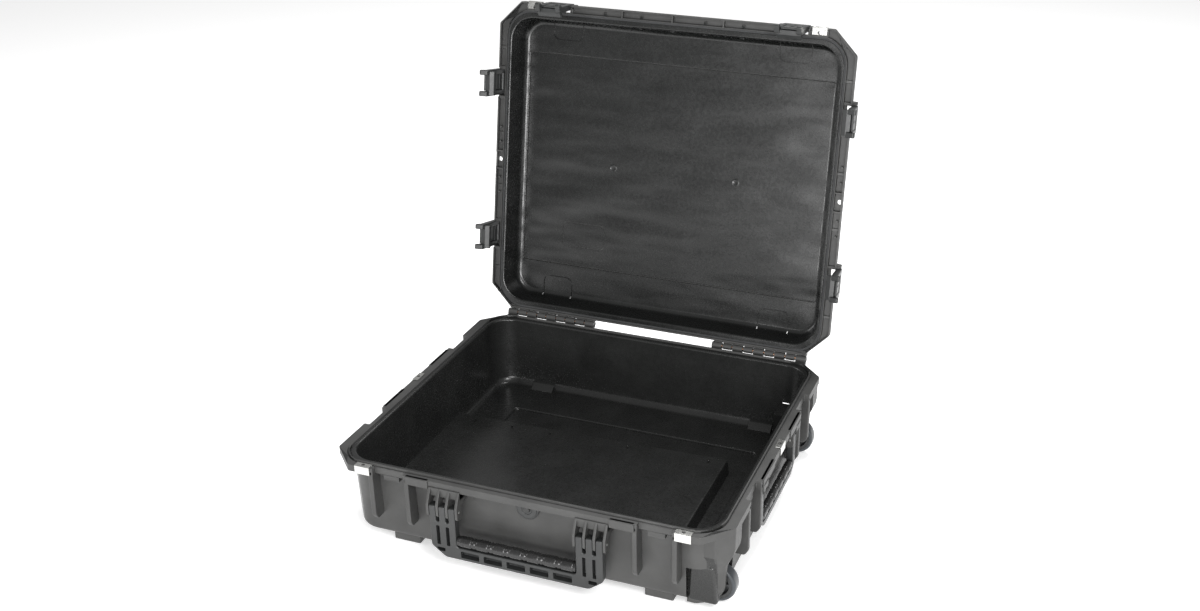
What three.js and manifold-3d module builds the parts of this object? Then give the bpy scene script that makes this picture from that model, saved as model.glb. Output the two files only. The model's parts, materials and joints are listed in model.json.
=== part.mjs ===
// Wheeled equipment case, lid open: base and lid shells, six trigger latches, two carry handles,
// two wheels and a pull-out tow handle.
// Millimetres, +Z up, front -Y, wheels +X, tow handle -X. Sizes are worked out from the base's middle, and
// the whole case is then moved so that the origin is on the ground, under the middle of its bounding box.
import * as THREE from 'three';
import { mergeVertices } from 'three/addons/utils/BufferGeometryUtils.js';
import Module from 'manifold-3d';

const wasm = await Module();
wasm.setup();

// ---- driving dimensions -------------------------------------------------------------------------
const RIM_Z = 150; // top face of the base, where the lid meets it
const FOOT = 8; // feet below the base's lowest skin
const GAP = 0.3; // clearance between parts that touch
const OPENING = { width: 618, depth: 535, radius: 42 };
const SKIN = 4;
const FLANGE = { x: 335, front: -291, lidFront: -296.5, back: 285, chamfer: 42, height: 12 };
const RIDGE = { width: 634, depth: 558, radius: 45, thick: 3, height: 3 };
const LID_TOP = 55.5; // lid's main top face above the rim
const LID_DEPTH = 50; // lid's inside depth
const PAD_HEIGHT = 14; // stacking ribs on top of the lid
const SKIRT = 2.8; // thickness of a flange's skirt
const HINGE = { y: 293.5, z: RIM_Z + 3.2, radius: 6.2, pin: 2.4 };
const OPEN_ANGLE = THREE.MathUtils.degToRad(100.47);
const BAY = { x: 222, y: 145, half: 31.5, rib: 8 }; // latch bays on the front and on the sides
const WALL = { front: -270.5, side: 316 }; // outer faces of the base's walls near the rim
const LATCH = { pivotOut: 1, pivotUp: 22, width: 48, pin: 2, catchHalf: 14 };
const NOTCH = { half: 27, depth: 9.5 }; // cut in both flanges where a latch's hook passes
const HASP = { x: 267, half: 13, over: 9.5, thick: 1.2, holeY: 4.4, hole: 2.8 }; // steel padlock plates
/** The lid's plates and their seats above the rim, and the hole in each end of the lid's flange. */
const LID_HASP = { seat: 3.5, over: 12, holeY: 8.5, hole: 3.2, sideY: 6, sideHole: 4.4 };
const HANDLE = { drop: 42, slot: 5.5, pinRadius: 2 };
const FRONT_HANDLE = {
  halfWidth: 145, fingers: 3, finger: 11, out: 6, thick: 14, top: 8, core: 4.5, grip: 9,
  gripDrop: 52.5, bottom: 84, windows: 5,
};
const SIDE_HANDLE = {
  halfWidth: 105, fingers: 1, finger: 16, out: -9.5, thick: 12, top: 5, core: 3.5, grip: 7,
  gripDrop: 46, bottom: 64, windows: 0,
};
const WHEEL = { x: 301.5, y: 228, z: 34, radius: 32, width: 20, bore: 4 };
const WELL = { x: 264, top: 73, inner: 214, outer: 241, cheek: 256 };
const TOW = { y: -7, halfWidth: 80, legY: 62, z: 21, travelTube: 460 };
const TUNNEL = { right: 218, front: -150, back: 91, leftTop: 35, rightTop: 44, skin: 3.5 };

// ---- shape helpers ------------------------------------------------------------------------------
/** Turns a closed geometry into a solid that can be joined and cut. */
function solid(geometry) {
  const bare = geometry.index ? geometry.clone() : geometry;
  bare.deleteAttribute('normal');
  bare.deleteAttribute('uv');
  const merged = mergeVertices(bare, 1e-3);
  return new wasm.Manifold(new wasm.Mesh({
    numProp: 3,
    vertProperties: new Float32Array(merged.attributes.position.array),
    triVerts: new Uint32Array(merged.index.array),
  }));
}

const join = (solids) => solids.reduce((whole, piece) => whole.add(piece));
const cut = (body, tools) => tools.reduce((left, tool) => left.subtract(tool), body);

/** Box between two corners. */
function block(x0, x1, y0, y1, z0, z1) {
  const box = new THREE.BoxGeometry(x1 - x0, y1 - y0, z1 - z0);
  box.translate((x0 + x1) / 2, (y0 + y1) / 2, (z0 + z1) / 2);
  return solid(box);
}

/** Round bar along 'x', 'y' or 'z', centred at a point. */
function rod(axis, radius, length, x, y, z, segments = 12) {
  const bar = new THREE.CylinderGeometry(radius, radius, length, segments);
  if (axis === 'x') bar.rotateZ(Math.PI / 2);
  if (axis === 'z') bar.rotateX(Math.PI / 2);
  bar.translate(x, y, z);
  return solid(bar);
}

/** Closed outline through corners [u, v, radius]; a corner without a radius stays sharp. */
function outline(corners) {
  const shape = new THREE.Shape();
  corners.forEach(([u, v, radius = 0], index) => {
    const corner = new THREE.Vector2(u, v);
    const before = new THREE.Vector2(...corners.at(index - 1));
    const after = new THREE.Vector2(...corners[(index + 1) % corners.length]);
    const start = corner.clone().lerp(before, radius / corner.distanceTo(before));
    const end = corner.clone().lerp(after, radius / corner.distanceTo(after));
    if (index === 0) shape.moveTo(start.x, start.y);
    else shape.lineTo(start.x, start.y);
    if (radius > 0) shape.quadraticCurveTo(u, v, end.x, end.y);
  });
  shape.closePath();
  return shape;
}

const PLANES = {
  xy: [[1, 0, 0], [0, 1, 0], [0, 0, 1]],
  xz: [[1, 0, 0], [0, 0, 1], [0, -1, 0]],
  yz: [[0, 1, 0], [0, 0, 1], [1, 0, 0]],
};

/** Prism over an outline in plane 'xy', 'xz' or 'yz', from one height to another along its normal. */
function prism(plane, corners, from, to) {
  const body = new THREE.ExtrudeGeometry(outline(corners), {
    depth: to - from, bevelEnabled: false, curveSegments: 1,
  });
  body.translate(0, 0, plane === 'xz' ? -to : from);
  const [u, v, w] = PLANES[plane].map((axis) => new THREE.Vector3(...axis));
  body.applyMatrix4(new THREE.Matrix4().makeBasis(u, v, w));
  return solid(body);
}

/** Points of a rounded rectangle around the Z axis. */
function roundedRing(width, depth, radius, z, segments = 4) {
  const points = [];
  for (let quarter = 0; quarter < 4; quarter += 1) {
    const right = quarter === 0 || quarter === 3 ? 1 : -1;
    const back = quarter < 2 ? 1 : -1;
    for (let step = 0; step <= segments; step += 1) {
      const angle = (quarter + step / segments) * Math.PI / 2;
      points.push(new THREE.Vector3(
        right * (width / 2 - radius) + radius * Math.cos(angle),
        back * (depth / 2 - radius) + radius * Math.sin(angle),
        z,
      ));
    }
  }
  return points;
}

/** Solid through a stack of rings with equal numbers of points, lowest first, closed by flat ends. */
function loft(rings) {
  const count = rings[0].length;
  const positions = rings.flat().flatMap((point) => point.toArray());
  const faces = [];
  for (let level = 0; level < rings.length - 1; level += 1) {
    for (let k = 0; k < count; k += 1) {
      const a = level * count + k;
      const b = level * count + (k + 1) % count;
      faces.push(a, b, b + count, a, b + count, a + count);
    }
  }
  const last = (rings.length - 1) * count;
  for (let k = 1; k < count - 1; k += 1) {
    faces.push(0, k + 1, k);
    faces.push(last, last + k, last + k + 1);
  }
  const geometry = new THREE.BufferGeometry();
  geometry.setAttribute('position', new THREE.Float32BufferAttribute(positions, 3));
  geometry.setIndex(faces);
  return solid(geometry);
}

/** Rounded rectangular tub given as levels [z, width, depth, radius]. */
const tub = (levels) => loft(levels.map(([z, width, depth, radius]) => (
  roundedRing(width, depth, radius, z))));

/** Rounded rectangular frame between two sizes. */
function frame(width, depth, radius, thick, z0, z1) {
  const outer = tub([z0, z1].map((z) => [z, width + thick, depth + thick, radius]));
  const inner = tub([
    [z0 - 1, width - thick, depth - thick, radius - thick],
    [z1 + 1, width - thick, depth - thick, radius - thick],
  ]);
  return outer.subtract(inner);
}

/** Turned body around Z from a profile of [radius, height] points. */
const turned = (profile, segments = 24) => solid(
  new THREE.LatheGeometry(profile.map(([r, h]) => new THREE.Vector2(r, h)), segments).rotateX(Math.PI / 2),
);

/** Named mesh with its own finish. */
function part(name, body, finish) {
  const { vertProperties, triVerts } = body.getMesh();
  const geometry = new THREE.BufferGeometry();
  geometry.setAttribute('position', new THREE.BufferAttribute(vertProperties, 3));
  geometry.setIndex(new THREE.BufferAttribute(triVerts, 1));
  geometry.computeVertexNormals();
  const mesh = new THREE.Mesh(geometry, new THREE.MeshStandardMaterial(finish));
  mesh.name = name;
  return mesh;
}

/** Group at a place, turned about Z so that its -Y side faces outward. */
function placed(x, y, z, turn, meshes) {
  const group = new THREE.Group();
  group.position.set(x, y, z);
  group.rotation.z = turn;
  group.add(...meshes);
  return group;
}

const MIDDLE_Y = 71.2; // middle of the open case's bounding box, from the base's middle

const PLASTIC = { color: 0x292b2d, roughness: 0.6, metalness: 0 };
const LATCH_PLASTIC = { color: 0x1e2021, roughness: 0.5, metalness: 0 };
const GRIP_RUBBER = { color: 0x131415, roughness: 0.4, metalness: 0 };
const SEAL_RUBBER = { color: 0x3c4043, roughness: 0.8, metalness: 0 };
const TYRE_RUBBER = { color: 0x3a4046, roughness: 0.35, metalness: 0 };
const STEEL = { color: 0xc9cacb, roughness: 0.3, metalness: 1 };
const COPPER_STEEL = { color: 0xb9856a, roughness: 0.4, metalness: 1 };
const ALUMINIUM = { color: 0xa9acae, roughness: 0.4, metalness: 1 };

const SIDES = [-1, 1];
const OUTWARD = { front: 0, right: Math.PI / 2, left: -Math.PI / 2 };
/** Latch bays; tilt is how many degrees a hanging latch leans inward. */
const BAYS = [
  { name: 'front_left', x: -BAY.x, y: FLANGE.front, turn: OUTWARD.front, tilt: 5 },
  { name: 'front_right', x: BAY.x, y: FLANGE.front, turn: OUTWARD.front, tilt: 5 },
  { name: 'left_front', x: -FLANGE.x, y: -BAY.y, turn: OUTWARD.left, tilt: -4 },
  { name: 'left_rear', x: -FLANGE.x, y: BAY.y, turn: OUTWARD.left, tilt: -4 },
  { name: 'right_front', x: FLANGE.x, y: -BAY.y, turn: OUTWARD.right, tilt: -4 },
  { name: 'right_rear', x: FLANGE.x, y: BAY.y, turn: OUTWARD.right, tilt: -4 },
];

/** Moves a solid made for the front (outward -Y) to a bay on the front or a side. */
function atBay(body, { x, y, turn }, z = 0) {
  const matrix = new THREE.Matrix4().makeRotationZ(turn).setPosition(x, y, z);
  const { vertProperties, triVerts } = body.getMesh();
  const geometry = new THREE.BufferGeometry();
  geometry.setAttribute('position', new THREE.BufferAttribute(vertProperties, 3));
  geometry.setIndex(new THREE.BufferAttribute(triVerts, 1));
  return solid(geometry.applyMatrix4(matrix));
}

// ---- flange and hinge, shared by base and lid ---------------------------------------------------
/** Outline of a flange, its corners cut off. */
function flangeCorners(front, inset) {
  const { x, back, chamfer } = FLANGE;
  const right = x - inset;
  const low = front + inset;
  const high = back - inset;
  const cutBack = chamfer - inset * 0.6;
  return [
    [right - cutBack, low, 6], [right, low + cutBack, 6],
    [right, high - cutBack, 6], [right - cutBack, high, 6],
    [cutBack - right, high, 6], [-right, high - cutBack, 6],
    [-right, low + cutBack, 6], [cutBack - right, low, 6],
  ];
}

/** Flange made of a plate and a skirt around its edge, hollow between the skirt and the wall. */
function flange(front, z0, z1, plate0, plate1, wallRing) {
  const plate = prism('xy', flangeCorners(front, 0), plate0, plate1);
  const whole = prism('xy', flangeCorners(front, 0), z0, z1);
  const skirt = whole.subtract(prism('xy', flangeCorners(front, SKIRT), z0 - 1, z1 + 1));
  return plate.add(skirt).subtract(wallRing);
}

const HINGE_TEETH = { first: 120, width: 15, gap: 6, pitch: 40, count: 5 };

/** Hinge teeth along both hinge groups; the base's and the lid's teeth take turns. */
function hingeTeeth(owner) {
  const { first, width, gap, pitch, count } = HINGE_TEETH;
  const isBase = owner === 'base';
  const teeth = [];
  for (let k = 0; k < (isBase ? count : count - 1); k += 1) {
    const low = first + k * pitch + (isBase ? 0 : width + gap);
    const high = low + (isBase ? width : pitch - width - 2 * gap);
    for (const side of SIDES) {
      const x0 = side > 0 ? low : -high;
      const x1 = x0 + high - low;
      const { y, z, radius } = HINGE;
      const arm = isBase
        ? [
          [y - 14, z - 12], [y - 3, z - 12], [y + radius, z],
          [y - radius, z], [y - radius, z - 4], [y - 14, z - 4],
        ]
        : [[y - 14, z + 12], [y - 14, z + 2], [y - radius, z], [y + radius, z], [y - 3, z + 12]];
      teeth.push(prism('yz', arm, x0, x1), rod('x', radius, x1 - x0, (x0 + x1) / 2, y, z, 10));
    }
  }
  return teeth;
}

const hingeBores = () => SIDES.map((side) => (
  rod('x', HINGE.pin + GAP, 190, side * 207.5, HINGE.y, HINGE.z, 8)));

// ---- base ---------------------------------------------------------------------------------------
/** Rounded upright rib from the wall to the flange's edge, made for the front at x = 0. */
function uprightRib(thick, length, reach = 22) {
  const top = RIM_Z - 6;
  const low = top - length;
  const profile = [[reach + 1, top], [0, top], [0, low + 18, 10], [reach - 3, low], [reach + 1, low]];
  return prism('yz', profile, -thick / 2, thick / 2);
}

/** Latch bay: two ribs and the catch that the latch's hook pulls on. */
function latchBay() {
  const { half, rib } = BAY;
  const catchTop = RIM_Z - 8;
  const catchOut = NOTCH.depth + 0.3;
  const catchProfile = [
    [23, catchTop], [catchOut, catchTop], [catchOut, catchTop - 12], [catchOut + 2, catchTop - 14],
    [23, catchTop - 14],
  ];
  const ribs = SIDES.map((side) => atBay(uprightRib(rib, 90), { x: side * half, y: 0, turn: 0 }));
  return join([...ribs, prism('yz', catchProfile, -LATCH.catchHalf, LATCH.catchHalf)]);
}

/** Space in both flanges for a latch's hook, made for the front at x = 0. */
const hookNotch = () => (
  block(-NOTCH.half, NOTCH.half, -8, NOTCH.depth, RIM_Z - FLANGE.height - 1, RIM_Z + FLANGE.height + 1));

/** Lugs of one handle arm, between and outside its fingers, made for the front at x = 0. */
function handleLugs({ fingers, finger, out }) {
  const { drop, slot } = HANDLE;
  const pivot = RIM_Z - drop;
  const pitch = finger + slot;
  const profile = [
    [26, RIM_Z - 10], [-2, RIM_Z - 10], [-out - 7, pivot + 10, 5],
    [-out - 7, pivot - 12, 6], [-out + 5, pivot - 16, 4],
    [-out + 11, pivot + 8, 4], [26, pivot + 12],
  ];
  const lugs = [];
  for (let k = 0; k <= fingers; k += 1) {
    const x = (k - fingers / 2) * pitch;
    lugs.push(prism('yz', profile, x - slot / 2 + 0.5, x + slot / 2 - 0.5));
  }
  const width = (fingers * pitch + slot) / 2 - 0.5;
  lugs.push(block(-width, width, -2, 26, RIM_Z - 24, RIM_Z - 9));
  return join(lugs);
}

const armWidth = ({ fingers, finger }) => fingers * finger + (fingers - 1) * HANDLE.slot;
const armCentre = (spec) => spec.halfWidth - armWidth(spec) / 2;

/** Corners of the column over a wheel at heights from the cheek to the flange: [z, x1, y1, x2, y2]. */
const COLUMN = [
  [62, 309, 256, 320, 248], [78, 309, 257.5, 321, 248], [88, 309, 261, 326, 246],
  [98, 309, 264, 331, 243.5], [108, 309, 265, 333, 243], [142, 309, 265, 333, 243],
];

/** Housing of a wheel at a right-hand corner: column over it, cheek outside it and well inside it. */
function wheelHousings(side) {
  const { x, top, inner, outer, cheek } = WELL;
  const between = (a, b) => [Math.min(side * a, side * b), Math.max(side * a, side * b)];
  const column = loft(COLUMN.map(([z, x1, y1, x2, y2]) => {
    const corners = [[290, inner - 4], [x2, inner - 4], [x2, y2], [x1, y1], [290, y1]];
    const ring = corners.map(([u, v]) => new THREE.Vector3(u, side * v, z));
    return side > 0 ? ring : ring.reverse();
  }));
  const well = block(x - 4, 315, ...between(inner - 4, cheek), FOOT, top + 4);
  const cheekPlate = prism('xz', [
    [x - 4, top + 20], [320, top + 20], [320, 40, 14], [300, 10, 12], [276, 5], [x - 4, 8],
  ], ...between(outer, cheek));
  return join([column, well, cheekPlate]);
}

/** Space for a wheel and the diagonal cut in front of its cheek. */
function wheelPocket(side) {
  const { x, top, inner, outer, cheek } = WELL;
  const y = (value) => side * value;
  const between = (a, b) => [Math.min(y(a), y(b)), Math.max(y(a), y(b))];
  const pocket = prism('xz', [[x, -1], [345, -1], [345, top], [x, top, 12]], ...between(inner, outer));
  const diagonal = [[278, -1], [278, 3], [307, 51], [345, 51], [345, -1]];
  const corner = prism('xz', diagonal, ...between(cheek, 300));
  const axleBore = rod('y', WHEEL.bore + GAP, 60, WHEEL.x, y(232), WHEEL.z, 16);
  return [pocket, corner, axleBore];
}

/** Raised tunnel on the base's floor that hides the tow handle's tubes. */
function tunnelHump() {
  const { right, front, back, leftTop, rightTop } = TUNNEL;
  return prism('xz', [[-312, FOOT], [right, FOOT], [right, rightTop, 3], [-312, leftTop]], front, back);
}

function tunnelHollow() {
  const { right, front, back, leftTop, rightTop, skin } = TUNNEL;
  const hollow = prism('xz', [
    [-306, -1], [right - skin, -1], [right - skin, rightTop - skin], [-306, leftTop - skin],
  ], front + skin, back - skin);
  const { y, halfWidth } = TOW;
  const mouth = block(-340, -286, y - halfWidth - 6, y + halfWidth + 6, FOOT - 1, leftTop - skin);
  return [hollow, mouth];
}

/** Height of the tunnel's sloping top at x. */
function tunnelTop(x) {
  const { right, leftTop, rightTop } = TUNNEL;
  return THREE.MathUtils.mapLinear(x, -312, right, leftTop, rightTop);
}

const BOSS_LOW = FOOT + 3.8;
const COVER_SCREWS = [[-230, -120], [-230, 77], [150, -120], [150, 77]];

function baseShell() {
  const outer = tub([
    [FOOT + 6, 610, 514, 36], [FOOT + 11, 622, 530, 41], [RIM_Z, 2 * WALL.side, -2 * WALL.front, 46],
  ]);
  const cavity = tub([
    [20, 590, 500, 28], [24, 602, 512, 35], [34, 608, 518, 38],
    [RIM_Z + 5, OPENING.width, OPENING.depth, OPENING.radius],
  ]);
  const wallRing = tub([[RIM_Z - 30, 628, 538, 44], [RIM_Z + 5, 628, 538, 44]]);
  const skirtLow = RIM_Z - FLANGE.height;
  const flangeBody = flange(FLANGE.front, skirtLow, RIM_Z, RIM_Z - SKIN, RIM_Z, wallRing);
  const recessTub = block(-232, 249, -209, 169, FOOT, FOOT + 10);
  const bays = BAYS.map((bay) => atBay(latchBay(), bay));
  const lugs = SIDES.flatMap((side) => [
    atBay(handleLugs(FRONT_HANDLE), {
      x: side * armCentre(FRONT_HANDLE), y: FLANGE.front, turn: OUTWARD.front,
    }),
    atBay(handleLugs(SIDE_HANDLE), { x: FLANGE.x, y: side * armCentre(SIDE_HANDLE), turn: OUTWARD.right }),
  ]);
  const frontRail = SIDES.map((side) => {
    const middle = side * 171;
    return block(middle - 20, middle + 20, FLANGE.front - 2, FLANGE.front + 5, RIM_Z - 14, RIM_Z);
  });
  const sideRails = [-1, 1].flatMap((side) => [-79, 79].map((y) => {
    const [x0, x1] = side > 0 ? [FLANGE.x - 5, FLANGE.x + 2] : [-FLANGE.x - 2, -FLANGE.x + 5];
    return block(x0, x1, y - 32, y + 32, RIM_Z - 14, RIM_Z);
  }));
  const feet = SIDES.flatMap((x) => SIDES.map((y) => {
    const [y0, y1] = y > 0 ? [222, 258] : [-258, -222];
    return block(x * 217.5 - 23.5, x * 217.5 + 23.5, y0, y1, 0, FOOT + 10);
  }));
  const rearRibs = [-90, -30, 30, 90].map((x) => prism('yz', [
    [264, RIM_Z - 8], [264, 60], [272, 66, 5], [FLANGE.back - 3, RIM_Z - 10],
  ], x - 3, x + 3));
  const bosses = COVER_SCREWS.map(([x, y]) => {
    const height = tunnelTop(x) - 1 - BOSS_LOW;
    return rod('z', 6, height, x, y, BOSS_LOW + height / 2, 8);
  });

  const solidShell = join([
    outer, recessTub, flangeBody, ...bays, ...lugs, ...frontRail, ...sideRails, ...feet, ...rearRibs,
    wheelHousings(-1), wheelHousings(1), ...hingeTeeth('base'),
  ]);
  const wells = SIDES.map((side) => {
    const [y0, y1] = side > 0 ? [WELL.inner - 4, 300] : [-300, -WELL.inner + 4];
    return block(WELL.x - 4, 340, y0, y1, 0, WELL.top + 4);
  });
  const inside = cut(cavity, wells);
  const recess = block(-228, 245, -205, 165, FOOT + SKIN, 25);
  const hollowed = cut(solidShell, [inside, recess]);
  const ridge = frame(RIDGE.width, RIDGE.depth, RIDGE.radius, RIDGE.thick, RIM_Z - 1, RIM_Z + RIDGE.height);
  const withTunnel = cut(hollowed.add(tunnelHump()).add(ridge), tunnelHollow());
  return cut(withTunnel.add(join(bosses)), [
    ...wheelPocket(-1), ...wheelPocket(1), ...hingeBores(), ...handleBores(), valveBore(),
    ...BAYS.map((bay) => atBay(hookNotch(), bay)), ...haspHoles(),
    ...COVER_SCREWS.map(([x, y]) => rod('z', 1.8, 14, x, y, 15, 8)),
  ]);
}

function handleBores() {
  const { drop, pinRadius } = HANDLE;
  const z = RIM_Z - drop;
  return SIDES.flatMap((side) => [
    rod('x', pinRadius + GAP, 60, side * armCentre(FRONT_HANDLE), FLANGE.front - FRONT_HANDLE.out, z, 8),
    rod('y', pinRadius + GAP, 30, FLANGE.x + SIDE_HANDLE.out, side * armCentre(SIDE_HANDLE), z, 8),
  ]);
}

const VALVE = { x: 9, z: RIM_Z - 26, bore: 9 };
const valveBore = () => rod('y', VALVE.bore, 30, VALVE.x, WALL.front, VALVE.z, 16);

// ---- lid, modelled closed -----------------------------------------------------------------------
function lidShell() {
  const low = RIM_Z + GAP;
  const outer = tub([
    [low, 628, 538, 44], [RIM_Z + LID_TOP - 10, 618, 528, 42], [RIM_Z + LID_TOP, 600, 510, 36],
  ]);
  const wallRing = tub([[low - 1, 626, 536, 44], [RIM_Z + 30, 626, 536, 44]]);
  const flangeTop = RIM_Z + FLANGE.height;
  const flangeBody = flange(FLANGE.lidFront, low, flangeTop, flangeTop - SKIN, flangeTop, wallRing);
  const pads = SIDES.flatMap((side) => [
    block(side * 170 - 90, side * 170 + 90, -200, -160, RIM_Z + LID_TOP - 6, RIM_Z + LID_TOP + PAD_HEIGHT),
    block(side * 170 - 90, side * 170 + 90, 160, 200, RIM_Z + LID_TOP - 6, RIM_Z + LID_TOP + PAD_HEIGHT),
    block(side * 262 - 14, side * 262 + 14, -130, 130, RIM_Z + LID_TOP - 6, RIM_Z + LID_TOP + PAD_HEIGHT),
  ]);
  const lugs = BAYS.map((bay) => atBay(latchLugs(), bay));
  const ribs = lidRibs();
  const cavity = tub([
    [low - 1, OPENING.width, OPENING.depth, OPENING.radius], [RIM_Z + LID_DEPTH - 12, 610, 527, 39],
    [RIM_Z + LID_DEPTH, 594, 511, 30],
  ]);
  const panel = block(-295, 295, -203, 198, RIM_Z + LID_DEPTH - 5, RIM_Z + LID_DEPTH + 2.5);
  const groove = frame(RIDGE.width, RIDGE.depth, RIDGE.radius, 7, low - 1, RIM_Z + 5);
  const padFoot = RIM_Z + LID_TOP;
  const padHollows = SIDES.flatMap((side) => [-180, 180].map((y) => (
    block(side * 170 - 86, side * 170 + 86, y - 16, y + 16, padFoot, padFoot + PAD_HEIGHT + 1)
  )));
  const grooveWall = frame(RIDGE.width, RIDGE.depth, RIDGE.radius + 2, 13, low, RIM_Z + 9);
  const pinBores = BAYS.map((bay) => {
    const bore = rod('x', LATCH.pin + GAP, 70, 0, -LATCH.pivotOut, 0, 8);
    return atBay(bore, bay, RIM_Z + LATCH.pivotUp);
  });
  const pocketHalf = HASP.half + 1;
  const haspPockets = PLATE_SPOTS.flatMap((spot) => [
    atBay(block(-pocketHalf, pocketHalf, -1, HASP.over + 1.5, -1, HASP.thick + 1), spot, RIM_Z),
    ...(spot.turn === OUTWARD.front
      ? [atBay(block(-pocketHalf, pocketHalf, -8, 6.8, -1, LID_HASP.seat), spot, RIM_Z)] : []),
  ]);
  const notches = BAYS.map((bay) => atBay(hookNotch(), bay));
  const notchedFlange = cut(flangeBody.add(join(channelRibs())), notches);
  const body = join([
    outer, notchedFlange, grooveWall, ...pads, ...lugs, ...ribs, ...hingeTeeth('lid'),
  ]);
  return cut(body, [
    cavity, panel, groove, ...padHollows, ...hingeBores(), ...pinBores, ...haspPockets, ...lidHaspHoles(),
  ]);
}

/** Ribs across the channel in the lid's flange, and the blocks that its padlock plates lie on. */
function channelRibs() {
  const low = RIM_Z + 1;
  const high = RIM_Z + FLANGE.height;
  const edge = FLANGE.lidFront + 1;
  const ribs = [-95, 0, 95].map((x) => block(x - 1.2, x + 1.2, edge, -280, low, high));
  const seats = SIDES.map((side) => (
    block(side * HASP.x - 16, side * HASP.x + 16, edge, -280, low, high)));
  const ends = SIDES.flatMap((side) => [-18, 15.6].map((y) => {
    const [x0, x1] = side > 0 ? [318, FLANGE.x - 1] : [1 - FLANGE.x, -318];
    return block(x0, x1, y, y + 2.4, low, high);
  }));
  return [...ribs, ...seats, ...ends];
}

/** Two lugs that carry a latch's pin, made for the front at x = 0. */
function latchLugs() {
  const { pivotOut, pivotUp, width } = LATCH;
  const z = RIM_Z + pivotUp;
  const profile = [
    [22, RIM_Z + 4], [1, RIM_Z + 4], [-pivotOut - 5, z - 6, 3], [-pivotOut - 5, z + 6, 4], [22, z + 12],
  ];
  return join(SIDES.map((side) => {
    const x = side * (width / 2 + 3.5);
    return prism('yz', profile, x - 3, x + 3);
  }));
}

/** Buttress ribs around the lid's skirt. */
function lidRibs() {
  const profile = [[26, RIM_Z + 4], [1, RIM_Z + 6], [3, RIM_Z + 18, 8], [26, RIM_Z + 40]];
  const rib = prism('yz', profile, -3, 3);
  const spots = [
    ...[-130, -60, 0, 60, 130].map((x) => ({ x, y: FLANGE.front, turn: OUTWARD.front })),
    ...SIDES.flatMap((side) => [-210, -50, 50, 210].map((y) => (
      { x: side * FLANGE.x, y, turn: side > 0 ? OUTWARD.right : OUTWARD.left }))),
  ];
  return spots.map((spot) => atBay(rib, spot));
}

function lidGasket() {
  return frame(RIDGE.width, RIDGE.depth, RIDGE.radius, 6.2, RIM_Z + RIDGE.height + 0.3, RIM_Z + 5 - 0.2);
}

// ---- latches ------------------------------------------------------------------------------------
/** Latch body around its pin, hanging straight down with its outer face towards -Y. */
function latchBody() {
  const half = LATCH.width / 2;
  const armProfile = [
    [-6, 4, 3], [3.6, 4, 3], [3.6, -24], [4.5, -40], [3, -62, 3],
    [-11, -66, 3], [-12, -60, 2], [-7, -54], [-7, -10],
  ];
  const arms = SIDES.map((side) => {
    const inner = side * (half - 9);
    const outer = side * half;
    return prism('yz', armProfile, Math.min(inner, outer), Math.max(inner, outer));
  });
  const barrel = rod('x', 6, LATCH.width, 0, 0, 0, 12);
  const brow = prism('yz', [[-6, -1], [0, -1], [1, -14], [-6, -14]], -half, half);
  const hook = prism('yz', [
    [-3, -50], [4, -50], [12.5, -48], [12.5, -53], [5, -57], [-3, -57],
  ], -half + 2, half - 2);
  const bore = rod('x', LATCH.pin + GAP, 60, 0, 0, 0, 8);
  const triggerBore = rod('x', 1.5 + GAP, 34, 0, -3.5, -19, 8);
  return cut(join([...arms, barrel, brow, hook]), [bore, triggerBore]);
}

/** Curved release lever between the latch's arms. */
function latchTrigger() {
  const half = LATCH.width / 2 - 9.6;
  const profile = [
    [-5.5, -16.5], [-1.5, -16.5], [0, -26, 6], [-4, -45], [-8, -47], [-5, -30, 8], [-6, -20],
  ];
  const pivots = rod('x', 1.5, 32, 0, -3.5, -19, 8);
  return prism('yz', profile, -half, half).add(pivots);
}

/** Headed pin along X. */
function crossPin(length, radius) {
  return rod('x', radius, length, 0, 0, 0, 8);
}

function latchMeshes({ name }) {
  return [
    part(`latch_${name}`, latchBody(), LATCH_PLASTIC),
    part(`latch_${name}_trigger`, latchTrigger(), LATCH_PLASTIC),
    part(`latch_${name}_pin`, crossPin(LATCH.width + 12, LATCH.pin), STEEL),
  ];
}

function latchGroup(bay) {
  const outward = new THREE.Vector2(0, -LATCH.pivotOut).rotateAround(new THREE.Vector2(), bay.turn);
  const leaning = new THREE.Group();
  leaning.rotation.x = THREE.MathUtils.degToRad(bay.tilt);
  leaning.add(...latchMeshes(bay));
  return placed(bay.x + outward.x, bay.y + outward.y, RIM_Z + LATCH.pivotUp, bay.turn, [leaning]);
}

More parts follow.
